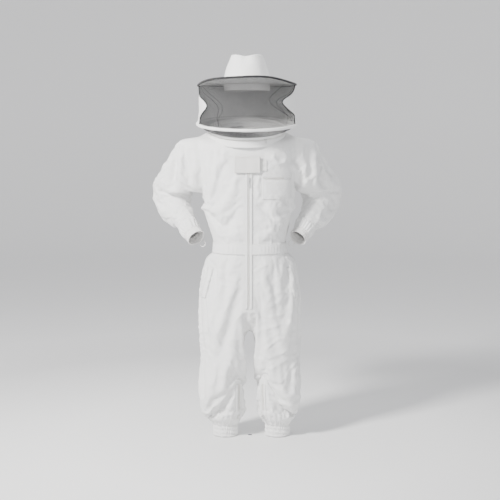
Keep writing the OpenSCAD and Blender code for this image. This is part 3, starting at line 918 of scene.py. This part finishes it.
def patch_rows(x0, x1, z0, z1, inset, lift):
    """A stitch row just inside the edges of a patch on the front."""
    xs, zs = (x0 + inset, x1 - inset), (z0 + inset, z1 - inset)
    corners = [(xs[0], zs[0]), (xs[1], zs[0]), (xs[1], zs[1]), (xs[0], zs[1]), (xs[0], zs[0])]
    path = []
    for (ax, az), (bx, bz) in zip(corners, corners[1:]):
        for i in range(20):
            x, z = ax + (bx - ax) * i / 20, az + (bz - az) * i / 20
            path.append((on_front(x, z)[0] + Vector((0, -lift, 0)), Vector((0, -1, 0))))
    return [path]


def build_chest_pocket():
    low, high = box("chest_pocket")
    zip_low, zip_high = box("chest_pocket_zip")
    pocket = surface_patch("chest_pocket_cloth", low.x, high.x, low.z, zip_low.z + 0.004, 0.001, 0.003)
    top = surface_patch("chest_pocket_top", low.x, high.x, zip_high.z - 0.003, high.z, 0.0016, 0.0016)
    whole = joined("chest_pocket_patch", [pocket, top])
    dressed(whole, COTTON, "white_twill", "suit", "chest_pocket")
    rows = patch_rows(low.x, high.x, low.z, zip_low.z + 0.002, 0.003, 0.0036)
    rows += patch_rows(low.x, high.x, zip_high.z, high.z, 0.0028, 0.0036)
    sewn("pocket_stitches", rows)


def build_pocket_zip():
    low, high = box("chest_pocket_zip")
    z = (low.z + high.z) / 2

    def place(t):
        point = on_front(low.x + (high.x - low.x) * t, z)[0]
        return point + Vector((0, -0.003, 0)), Vector((1, 0, 0)), Vector((0, -1, 0)), UP

    tape = surface_patch("pocket_tape", low.x, high.x, low.z - 0.001, high.z + 0.001, 0.0012, 0)
    dressed(tape, ZIP_TAPE, "zip_tape", "suit", "chest_pocket_zip")
    coil = teeth("pocket_teeth", 40, place, (0.0022, 0.0013, 0.0016))
    dressed(coil, ZIP_TEETH, "zip_chain", "suit")


# Painted shade: the flap's cloth is the suit's white cotton given a darker colour.
FLAP_PAINTED_SHADE = twill("flap_cotton_painted_shade", (0.70, 0.69, 0.67), crinkle=0.4)


def build_flap():
    """The cloth flap over the zip's top end, bowed a little and free at its lower edge."""
    low, high = box("neck_flap")

    def at(u, v):
        x = low.x + (high.x - low.x) * u
        z = low.z + (high.z - low.z) * v
        edge = min(u * (high.x - low.x), (1 - u) * (high.x - low.x), v * (high.z - low.z))
        bow = 0.0022 * math.sin(math.pi * u) * (1 - v) + 0.001 * noise.noise(Vector((x * 40, z * 40, 2)))
        return Vector((x, low.y - 0.0008 - bow - 0.0007 * smooth(0.006, 0.002, edge), z))

    flap = sheet("flap_cloth", at, 30, 24, thickness=0.0022)
    dressed(flap, FLAP_PAINTED_SHADE, "white_twill", "flap", "neck_flap")
    build_flap_stitches(low, high)


def straight_row(start, end, normal, count):
    """Stitch points evenly from start to end, with one normal."""
    places = [[a + (b - a) * i / count for a, b in zip(start, end)] for i in range(count + 1)]
    return [(Vector(place), normal) for place in places]


def build_flap_stitches(low, high):
    """One row down the sides and along the foot of the flap, and one along its sewn top edge."""
    front = Vector((0, -1, 0))
    inset, y = 0.0035, low.y - 0.0042
    corners = [(low.x + inset, y, high.z - 0.003), (low.x + inset, y, low.z + inset),
               (high.x - inset, y, low.z + inset), (high.x - inset, y, high.z - 0.003)]
    edge = []
    for start, end in zip(corners, corners[1:]):
        edge += straight_row(start, end, front, 12)
    top = joint_at("flap_lift").z - 0.004
    sewn("flap_stitches", [edge, straight_row((low.x, y, top), (high.x, y, top), front, 20)], "flap")


def build_flap_patches():
    """The hook patch keeps its CAD shape. The loop patch on the suit follows the cloth."""
    painted(nodes["flap_hook_patch"], HOOK_TAPE)
    low, high = box("flap_loop_patch")
    loop = surface_patch("loop_patch", low.x, high.x, low.z, high.z, 0.0012, 0.0008, 0.0016)
    dressed(loop, HOOK_TAPE, "hook_tape", "suit", "flap_loop_patch")


# ---------- pockets, seams and the hanger loop ----------

def build_side_pocket(name, side):
    """A slanted welt pocket in the side seam: a narrow folded welt on the hip, no patch."""
    low, high = box(name + "_side_pocket")
    reach = abs(middle(name + "_side_pocket").x)
    top = Vector((side * (reach - 0.012), 0, high.z))
    foot = Vector((side * (reach + 0.022), 0, low.z + 0.01))
    half = 0.011

    def on_welt(u, v):
        line = foot.lerp(top, v)
        return on_front(line.x + (u - 0.5) * 2 * half, line.z)

    def at(u, v):
        point, normal = on_welt(u, v)
        edge = min(u, 1 - u) * 2 * half
        return point + normal * (0.001 + 0.0022 * smooth(0, 0.006, edge))

    welt = sheet(name + "_pocket_welt", at, 8, 40, thickness=0.0012)
    dressed(welt, COTTON, "white_twill", "suit", name + "_side_pocket")
    rows = []
    for u in (0.12, 0.88):
        points = [on_welt(u, i / 40) for i in range(41)]
        rows.append([(point + normal * 0.003, normal) for point, normal in points])
    sewn(name + "_pocket_stitches", rows)


YOKE_Z = 1.207
YOKE_HALF = 0.165


def build_seams():
    """Stitched seams of the yoke and the side panels."""
    rows = []
    for drop in (0.0, 0.005):
        row = []
        for i in range(61):
            t = i / 60 * 2 - 1
            row.append(on_front(RING_CENTRE.x + t * YOKE_HALF, YOKE_Z + 0.03 * t * t - drop, 0.001))
        rows.append(row)
    for side_angle in (math.pi, 0):
        rows.append([on_trunk(side_angle, 0.6 + 0.19 * i / 40, 0.001) for i in range(41)])
    sewn("suit_seams", rows)


def build_hanger():
    low, high = box("hanger_loop")
    mid = (low.x + high.x) / 2

    def at(u, v):
        x = mid + (v - 0.5) * (high.x - low.x + 0.01)
        reach = (high.y - low.y - 0.004) * math.sin(math.pi * v)
        return Vector((x, low.y + reach, low.z + (high.z - low.z) * (0.2 + 0.6 * u)))

    loop = sheet("hanger_tape", at, 3, 24, thickness=0.0014)
    dressed(loop, BINDING, "white_twill", "suit", "hanger_loop")


build_front_zip()
build_waistband()
build_chest_pocket()
build_pocket_zip()
build_flap()
build_flap_patches()
for side_name, side_sign in SIDES:
    build_side_pocket(side_name, side_sign)
build_seams()
build_hanger()


# ---------- cuffs, thumb loops and leg zips ----------

def compass(axis):
    """out(turn): the direction square to axis at each turn round it."""
    aside = axis.orthogonal().normalized()
    other = axis.cross(aside)
    return lambda turn: aside * math.cos(turn) + other * math.sin(turn)


def gathered_band(name, centre, axis, half, r, pleats, depth):
    """An elastic cuff: a closed band round axis, ruched in pleats that fade at its two stitched rows."""
    axis = Vector(axis).normalized()
    out_at = compass(axis)

    def at(u, v):
        turn = math.tau * u
        along = (v - 0.5) * 2 * half
        ruffle = math.sin(turn * pleats + 1.7 * math.sin(turn * 5 + along * 60))
        swell = 0.6 + 0.4 * math.cos(math.tau * 3 * v)
        wobble = noise.noise(Vector((math.cos(turn) * 3, math.sin(turn) * 3, along * 40)))
        ruched = r + depth * (0.5 + 0.5 * ruffle) * swell
        return centre + axis * along + out_at(turn) * (ruched + depth * 0.5 * wobble)

    return sheet(name, at, pleats * 8, 18, closed=True, thickness=0.0016)


def gathers(name, centre, axis, reach, r, pleats, depth):
    """Cloth gathered into an elastic cuff: deep pleats at the cuff that fade out into the sleeve or leg."""
    axis = Vector(axis).normalized()
    out_at = compass(axis)

    def wall(out, along):
        start = centre + axis * along
        hit = SUIT.ray_cast(start, out, 0.16)[0]
        return (hit - centre - axis * along).length if hit is not None else r + 0.012

    def at(u, v):
        turn = math.tau * u
        out = out_at(turn)
        full = wall(out, reach * max(v, 0.62)) + 0.0012
        base = r + (full - r) * smooth(0.0, 0.8, v) ** 0.8
        pleat = 0.5 + 0.5 * math.sin(turn * pleats + 2.2 * math.sin(turn * 3 + v))
        rise = depth * pleat * math.sin(math.pi * min(1.0, 0.16 + v * 0.84))
        return centre + axis * (reach * v) + out * (base + rise)

    return sheet(name, at, pleats * 10, 22, closed=True, thickness=0.0014)


def build_wrist(name):
    centre, out = wrist(name)
    body = name + "_forearm"
    cuff = gathered_band(name + "_wrist_elastic", centre - out * 0.002, out, WRIST_HALF + 0.004,
                         0.0365, 34, 0.0022)
    dressed(cuff, ELASTIC, "white_elastic", body, name + "_wrist_cuff")
    edge = centre - out * (WRIST_HALF - 0.004)
    folds = gathers(name + "_wrist_gathers", edge, -out, 0.044, 0.0372, 17, 0.0034)
    dressed(folds, COTTON, "white_twill", body)
    painted(nodes[name + "_thumb_loop"], LOOP_ELASTIC)


def build_ankle(name):
    centre = ankle(name)
    body = name + "_shin_part"
    low, high = box(name + "_ankle_cuff")
    middle_of_cuff = Vector((centre.x, centre.y, (low.z + high.z) / 2))
    half = (high.z - low.z) / 2
    cuff = gathered_band(name + "_ankle_elastic", middle_of_cuff, UP, half, 0.051, 40, 0.0045)
    dressed(cuff, COTTON, "white_elastic", body, name + "_ankle_cuff")
    top = Vector((centre.x, centre.y, high.z - 0.006))
    folds = gathers(name + "_ankle_gathers", top, UP, 0.07, 0.053, 19, 0.006)
    dressed(folds, COTTON, "white_twill", body)


def build_leg_zip(name):
    """A zip on the inside front of the shin, with narrow fabric guards either side of it."""
    body = name + "_shin_part"
    low, high = leg_zip_line(name)
    run = (high - low).normalized()
    span = (high - low).length
    out = low - middle(name + "_shin")
    out = (out - run * out.dot(run)).normalized()
    across = run.cross(out).normalized()
    count = 44

    def at_face(offset, t, lift):
        start = low + run * span * t + across * offset
        hit = SUIT.ray_cast(start + out * 0.06, -out, 0.15)[0]
        return (hit if hit is not None else start) + out * lift

    def guard(kind, offset):
        def at(u, v):
            return at_face(offset + (u - 0.5) * 2 * 0.005, v, 0.0016)

        return sheet(name + kind, at, 4, count, thickness=0.0014)

    def tape_at(u, v):
        return at_face((u - 0.5) * 0.012, v, 0.0009)

    def tooth_at(t):
        return at_face(0, t, 0.0016), run, out, across

    strips = [guard("guard_a", -0.0105), guard("guard_b", 0.0105)]
    dressed(joined(name + "_leg_guards", strips), COTTON_HAT, "white_twill", body)
    tape = sheet(name + "_leg_tape", tape_at, 4, count, thickness=0.0008)
    dressed(tape, ZIP_TAPE, "zip_tape", body, name + "_leg_zip")
    coil = teeth(name + "_leg_teeth", 50, tooth_at, (0.0023, 0.0014, 0.0018))
    dressed(coil, ZIP_TEETH, "zip_chain", body)
    offsets = (-0.0145, -0.0068, 0.0068, 0.0145)
    rows = [[(at_face(x, i / count, 0.0026), out) for i in range(count + 1)] for x in offsets]
    sewn(name + "_leg_stitches", rows, body)


for side_name, _ in SIDES:
    build_wrist(side_name)
    build_ankle(side_name)
    build_leg_zip(side_name)


# ---------- collar ring, hoop and veil ----------

ZIP_TOP = 0.011
WIRE_R = 0.0018
HOOP_AT = middle("hoop_wire")
HOOP_SIZE = box("hoop_wire")[1] - box("hoop_wire")[0]
HOOP_R = HOOP_SIZE.x / 2 - WIRE_R
HOOP_TILT = math.asin((HOOP_SIZE.z / 2 - WIRE_R) / HOOP_R)
HOOP_BACK = Vector((0, math.cos(HOOP_TILT), math.sin(HOOP_TILT)))
HOOP_UP = Vector((0, -math.sin(HOOP_TILT), math.cos(HOOP_TILT)))
BRIM_Z = middle("brim").z
BRIM_R = (box("brim")[1].x - box("brim")[0].x) / 2
BRIM_CENTRE = Vector((RING_CENTRE.x, 0, BRIM_Z))
NET_EDGE = math.radians(6)


def hoop_point(angle, extra=0.0, up=0.0):
    out = Vector((1, 0, 0)) * math.cos(angle) + HOOP_BACK * math.sin(angle)
    return HOOP_AT + out * (HOOP_R + extra) + HOOP_UP * up


def brim_lift(angle):
    """The brim's rim is bent up at the front and a little down at the sides."""
    front = max(0.0, -math.sin(angle))
    return 0.021 * front ** 1.4 - 0.006 * math.cos(angle) ** 2 + 0.002 * math.sin(angle * 5 + 1.1)


def rim_point(angle):
    out = Vector((math.cos(angle), math.sin(angle), 0))
    return BRIM_CENTRE + out * (BRIM_R - 0.005) + UP * (brim_lift(angle) - 0.003)


def tube(name, path, r, sides=10, closed=True, ripple=0.0, count=0):
    """A tube round a path of points; ripple puckers its surface count times along it."""
    bm = bmesh.new()
    rings = []
    total = len(path)
    for i, p in enumerate(path):
        ahead = path[(i + 1) % total] if closed or i + 1 < total else p
        behind = path[i - 1] if closed or i > 0 else p
        along = (ahead - behind).normalized()
        aside = along.cross(UP).normalized()
        other = aside.cross(along)
        size = r + ripple * math.sin(math.tau * count * i / total + 2 * math.sin(i * 0.7))
        turns = [math.tau * k / sides for k in range(sides)]
        rings.append([bm.verts.new(p + (aside * math.cos(a) + other * math.sin(a)) * size) for a in turns])
    pairs = list(zip(rings, rings[1:] + rings[:1])) if closed else list(zip(rings, rings[1:]))
    for one, two in pairs:
        for k in range(sides):
            bm.faces.new((one[k], one[(k + 1) % sides], two[(k + 1) % sides], two[k]))
    if not closed:
        bm.faces.new(rings[0])
        bm.faces.new(rings[-1][::-1])
    bmesh.ops.recalc_face_normals(bm, faces=bm.faces)
    return from_bmesh(name, bm)


def circle(place, count):
    return [place(math.tau * i / count) for i in range(count)]


def collar_flare(up):
    """Radius of the collar band at a height from its foot, -0.03, to its top, -0.003."""
    return RING_R + 0.006 * (1 - (up + 0.03) / 0.027) ** 2


def build_ring_bands():
    """The cloth bands that carry the ring zip: one below it on the suit, one above it on the veil."""
    def lower_at(u, v):
        return ring_point(math.tau * u, RING_R + 0.006 * (1 - v) ** 2, -0.03 + 0.027 * v)

    def upper_at(u, v):
        return ring_point(math.tau * u, RING_R, 0.0015 + (ZIP_TOP + 0.002) * v)

    lower = sheet("collar_band", lower_at, 180, 6, closed=True, thickness=0.002)
    dressed(lower, COTTON_HAT, "white_twill", "suit", "ring_zip_lower", "collar")
    upper = sheet("veil_band", upper_at, 180, 4, closed=True, thickness=0.0018)
    dressed(upper, COTTON_HAT, "ring_tape", "veil", "ring_zip_upper")


def build_ring_zip():
    def place(t):
        angle = math.tau * t
        out = ring_point(angle, 1, 0) - ring_point(angle, 0, 0)
        run = RING_UP.cross(out).normalized()
        return ring_point(angle, RING_R + 0.0008, -0.0005), run, out, RING_UP

    coil = teeth("ring_teeth", 300, place, (0.0022, 0.0014, 0.0018))
    dressed(coil, ZIP_TEETH, "zip_chain", "suit")
    angles = [math.tau * i / 200 for i in range(201)]
    rows = []
    for up in (-0.026, -0.0075):
        rows.append([(ring_point(a, collar_flare(up) + 0.0012, up),
                      (ring_point(a, 1, 0) - RING_CENTRE).normalized()) for a in angles])
    sewn("collar_stitches", rows)


def skirt_point(angle, v):
    low = ring_point(angle, RING_R, ZIP_TOP)
    high = hoop_point(angle, 0.001)
    sag = 0.006 * math.sin(math.pi * v)
    pleat = 0.0014 * math.sin(angle * 26 + 3 * math.sin(angle * 3)) * math.sin(math.pi * v)
    return low.lerp(high, v) - RING_UP * (sag + pleat)


def build_skirt():
    def net_at(u, v):
        return skirt_point(math.pi + NET_EDGE + (math.pi - 2 * NET_EDGE) * u, v)

    def cloth_at(u, v):
        return skirt_point(-NET_EDGE + (math.pi + 2 * NET_EDGE) * u, v)

    net = sheet("skirt_netting_sheet", net_at, 150, 8)
    dressed(net, NET_SKIRT, "net", "veil", "skirt_net")
    cloth = sheet("skirt_back", cloth_at, 150, 8, thickness=0.0016)
    dressed(cloth, COTTON_HAT, "white_twill", "veil", "skirt_cloth")


def build_hoop():
    casing = tube("hoop_sheath", circle(lambda a: hoop_point(a), 260), 0.0066, 14, ripple=0.0005, count=46)
    dressed(casing, COTTON_HAT, "white_twill", "veil", "hoop_casing", "hoop_wire")
    rows = [[(hoop_point(math.tau * i / 260, 0.0035, 0.0061), HOOP_UP) for i in range(261)]]
    sewn("hoop_stitches", rows, "veil")


def window_edge(v, side):
    """The angle by which the net window stops short of the hat's side, at height v."""
    peak, reach = (0.55, 38) if side > 0 else (0.46, 30)
    bulge = math.exp(-((v - peak) / 0.26) ** 2)
    low = (0.25 if side > 0 else 0.4) * smooth(0.5, 0.1, v)
    return NET_EDGE + math.radians(reach) * max(bulge, low) * smooth(1.0, 0.86, v)


def veil_point(angle, v, netted):
    low = hoop_point(angle, 0.0)
    high = rim_point(angle)
    p = low.lerp(high, v)
    out = Vector((math.cos(angle), math.sin(angle), 0))
    belly = math.sin(math.pi * v)
    slack = -0.016 if netted else -0.004
    fold = math.sin(angle * 5.0 + v * 5.2) * 0.5 + math.sin(angle * 11.0 - v * 7.5 + 1.0) * 0.32
    ripple = noise.noise(Vector((math.cos(angle) * 3.2, math.sin(angle) * 3.2, v * 2.2 + 5)))
    depth = 0.006 if netted else 0.0034
    return p + out * belly * (slack + depth * fold + 0.006 * ripple)


def hung(obj, material, slot, *replaced):
    """Dresses a piece of the veil that hangs from the hat and is held by the hoop."""
    dressed(obj, material, slot, None, *replaced)
    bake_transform(obj)


def net_at(u, v):
    right, left = window_edge(v, -1), window_edge(v, 1)
    angle = math.pi + right + (math.pi - right - left) * u
    gather = math.sin(math.pi * u)
    return veil_point(angle, v, True).lerp(veil_point(angle, v, False), 1 - smooth(0, 0.12, gather))


def veil_cloth_at(u, v):
    right, left = window_edge(v, -1), window_edge(v, 1)
    return veil_point(-left + (math.pi + left + right) * u, v, False)


def build_veil():
    net = sheet("veil_netting_sheet", net_at, 170, 34)
    hung(net, NET, "net", "veil_net")
    cloth = sheet("veil_back", veil_cloth_at, 200, 34, thickness=0.0016)
    hung(cloth, COTTON_HAT, "white_twill", "veil_cloth")
    for side, u in (("left", 1.0), ("right", 0.0)):
        path = [net_at(u, i / 40) - Vector((0, 0.001, 0)) for i in range(41)]
        edge = tube("window_edge_" + side, path, 0.0027, 8, closed=False)
        hung(edge, BLACK_TAPE, "black_tape")


def crease_path(start, end, bend):
    """A fold line in the net from near the hoop to near the brim, by how far across the window it is."""
    path = []
    for i in range(25):
        t = i / 24
        u = start + (end - start) * t + bend * math.sin(math.pi * t)
        path.append(net_at(u, 0.04 + 0.9 * t))
    return path


def build_net_creases():
    folds = ((0.26, 0.1, 0.02), (0.98, 0.8, -0.03), (0.3, 0.06, -0.05), (0.84, 0.97, 0.04))
    creases = [tube("crease", crease_path(*fold), 0.0008, 5, closed=False) for fold in folds]
    hung(joined("net_creases", creases), BLACK_TAPE, "net")


# ---------- hat ----------

def brim_at(angle, t):
    """A point on the brim: t runs from the head (0) to the rim (1)."""
    inner = Vector((math.cos(angle) * HEAD_X, math.sin(angle) * HEAD_Y, 0))
    outer = Vector((math.cos(angle), math.sin(angle), 0)) * (BRIM_R - 0.001)
    ridge = 0.0005 * math.cos(math.tau * 7 * t)
    return BRIM_CENTRE + inner.lerp(outer, t) + UP * (brim_lift(angle) * t * t + ridge)


HEAD_X = (box("crown")[1].x - box("crown")[0].x) / 2 - 0.004
HEAD_Y = (box("crown")[1].y - box("crown")[0].y) / 2 - 0.004
CROWN_TOP = box("crown")[1].z


def build_brim():
    disc = sheet("brim_cloth", lambda u, v: brim_at(math.tau * u, v), 200, 42, True, 0.0024)
    dressed(disc, COTTON_HAT, "white_twill", "hat", "brim")
    rim = circle(lambda a: brim_at(a, 1.0), 220)
    binding = tube("rim_binding", rim, 0.0046, 10, ripple=0.0002, count=60)
    dressed(binding, BLACK_TAPE, "black_tape", "hat", "brim_binding", "brim_wire")
    rows = []
    for k in range(1, 7):
        for lift, normal in ((0.0019, UP), (-0.0019, -UP)):
            rows.append([(brim_at(math.tau * i / 180, k / 7) + UP * lift, normal) for i in range(181)])
    sewn("brim_stitches", rows, "hat", 0.0034, 0.0022)


def crown_at(u, v):
    """The crown's cloth: up the side, over a rounded top edge and in to a pinched dip."""
    angle = math.tau * u
    height = CROWN_TOP - BRIM_Z - 0.014
    side = min(1.0, v / 0.68)
    inward = max(0.0, (v - 0.68) / 0.32)
    x = HEAD_X * (1 - 0.34 * side ** 1.5)
    y = HEAD_Y * (1 - 0.28 * side ** 1.5)
    shrink = 1 - inward
    edge = smooth(0.0, 0.3, inward)
    z = height * (side - 0.03 * edge)
    px = math.cos(angle) * x * shrink
    py = math.sin(angle) * y * shrink
    pinch = math.exp(-((px + 0.004) / 0.026) ** 2) * smooth(1.6, 0.5, abs(py) / y) * smooth(0.5, 1.0, side)
    front_dent = math.exp(-((px + 0.004) / 0.022) ** 2) * smooth(0.3, 1.0, side) * (1 - inward) * 0.010
    z -= 0.013 * pinch
    py *= 1 - front_dent / max(abs(py), 0.02) * (1 if abs(py) > 0.02 else 0)
    rumple = noise.noise(Vector((px * 22, py * 22, z * 20 + 3)))
    fine = noise.noise(Vector((px * 50, py * 50, z * 26 + 8)))
    out = Vector((math.cos(angle), math.sin(angle), 0))
    smooth_place = BRIM_CENTRE + Vector((px, py, 0.004 + z))
    worn = out * (0.0042 * rumple + 0.0018 * fine) * shrink * side
    return smooth_place + worn + UP * 0.003 * rumple * (1 - shrink)


def build_crown():
    def at(u, v):
        return crown_at(u, v * 0.985)

    shell = sheet("crown_cloth", at, 120, 54, closed=True, thickness=0.0022)
    cap = sheet("crown_middle", lambda u, v: crown_at(u, 0.975 + 0.0248 * v), 24, 2, closed=True)
    dressed(joined("crown_shell", [shell, cap]), COTTON_HAT, "white_twill", "hat", "crown")


def build_crown_stitches():
    """Rows round the foot and top edge of the crown, and one up each side."""
    def round_row(v):
        row = []
        for i in range(151):
            angle = math.tau * i / 150
            at = crown_at(i / 150, v)
            away = (at - BRIM_CENTRE).normalized()
            row.append((at + away * 0.0014, Vector((math.cos(angle), math.sin(angle), 0))))
        return row

    def side_row(u, side):
        heights = [0.03 + 0.6 * i / 40 for i in range(41)]
        return [(crown_at(u, v) + Vector((0.0016 * side, 0, 0)), Vector((side, 0, 0))) for v in heights]

    rows = [round_row(v) for v in (0.03, 0.06, 0.645, 0.70)]
    sewn("crown_stitches", rows + [side_row(0.0, 1), side_row(0.5, -1)], "hat")


def build_head_band():
    low, high = box("sweatband")

    def at(u, v):
        angle = math.tau * u
        x = RING_CENTRE.x + math.cos(angle) * (HEAD_X - 0.002)
        return Vector((x, math.sin(angle) * (HEAD_Y - 0.002), low.z + (high.z + 0.001 - low.z) * v))

    band = sheet("head_band", at, 120, 6, closed=True, thickness=0.003)
    dressed(band, BINDING, "white_twill", "hat", "sweatband")


build_ring_bands()
build_ring_zip()
build_skirt()
build_hoop()
build_veil()
build_net_creases()
build_brim()
build_crown()
build_crown_stitches()
build_head_band()


# ---------- camera, lights and backdrop ----------

def aim(obj, target):
    obj.rotation_euler = (Vector(target) - obj.location).to_track_quat("-Z", "Y").to_euler()


def add_light(name, place, target, size, power, colour=(1, 1, 1)):
    light = bpy.data.lights.new(name, "AREA")
    light.shape = "RECTANGLE"
    light.size, light.size_y = size
    light.energy = power
    light.color = colour
    obj = new_object(name, light)
    obj.location = place
    aim(obj, target)


def backdrop():
    """A round floor that sweeps up into a wall on every side, pale near the middle and grey farther out. Its far
    part also glows with painted light, an emission that brightens it.
    """
    bend, reach, turns = 1.5, 8.5, 64
    profile = [(0.01, 0.0), (reach - bend, 0.0)]
    for i in range(1, 13):
        turn = math.radians(90 * i / 12)
        profile.append((reach - bend + bend * math.sin(turn), bend - bend * math.cos(turn)))
    profile.append((reach, 7.0))

    def at(u, v):
        step = v * (len(profile) - 1)
        r, z = profile[round(step)]
        return Vector((r * math.cos(math.tau * u), r * math.sin(math.tau * u), z - 0.002))

    obj = sheet("backdrop", at, turns, len(profile) - 1, closed=True)
    paper = Shader("backdrop_paper")
    distance = paper.node("ShaderNodeVectorMath", operation="LENGTH")
    paper.link(paper.place, distance.inputs[0])
    far = paper.math("MULTIPLY", distance.outputs["Value"], 0.2)
    tone = paper.ramp(far, (0.80, 0.80, 0.80), (0.56, 0.56, 0.565), 0.16, 0.36)
    # Painted light: beyond about a metre from the middle the backdrop glows, an emission that brightens it past
    # what the lamps give.
    painted_far_light = paper.ramp(far, (0.0, 0.0, 0.0), (0.34, 0.34, 0.343), 0.16, 0.5)
    paper.finish(tone, Roughness=0.9, Emission_Strength=1.0)
    paper.feed(paper.surface.inputs["Emission Color"], painted_far_light)
    obj.data.materials.append(paper.material)


def camera():
    lens = bpy.data.cameras.new("camera")
    lens.lens = 80.5
    lens.sensor_width = 36
    obj = new_object("camera", lens)
    obj.location = (0, -4.75, 1.32)
    aim(obj, (0, 0, 0.806))
    bpy.context.scene.camera = obj


def surroundings():
    world = bpy.data.worlds.new("studio")
    world.use_nodes = True
    background = world.node_tree.nodes["Background"]
    background.inputs["Color"].default_value = (0.93, 0.95, 1, 1)
    background.inputs["Strength"].default_value = 0.38
    bpy.context.scene.world = world


for small_part in ("ring_zip_slider", "ring_zip_pull"):
    painted(nodes[small_part], ZIP_METAL)
backdrop()
surroundings()
add_light("key", (-2.5, -2.5, 3.1), (0, 0, 0.95), (0.7, 0.7), 440, (1, 0.985, 0.96))
add_light("fill", (2.8, -2.4, 1.5), (0, 0, 0.8), (2.0, 2.4), 26, (0.96, 0.98, 1))
add_light("front", (0.3, -4.9, 2.0), (0, 0, 1.1), (1.6, 1.2), 42)
add_light("top", (0.1, 0.6, 3.3), (0, 0, 1.0), (2.2, 1.6), 52)
camera()
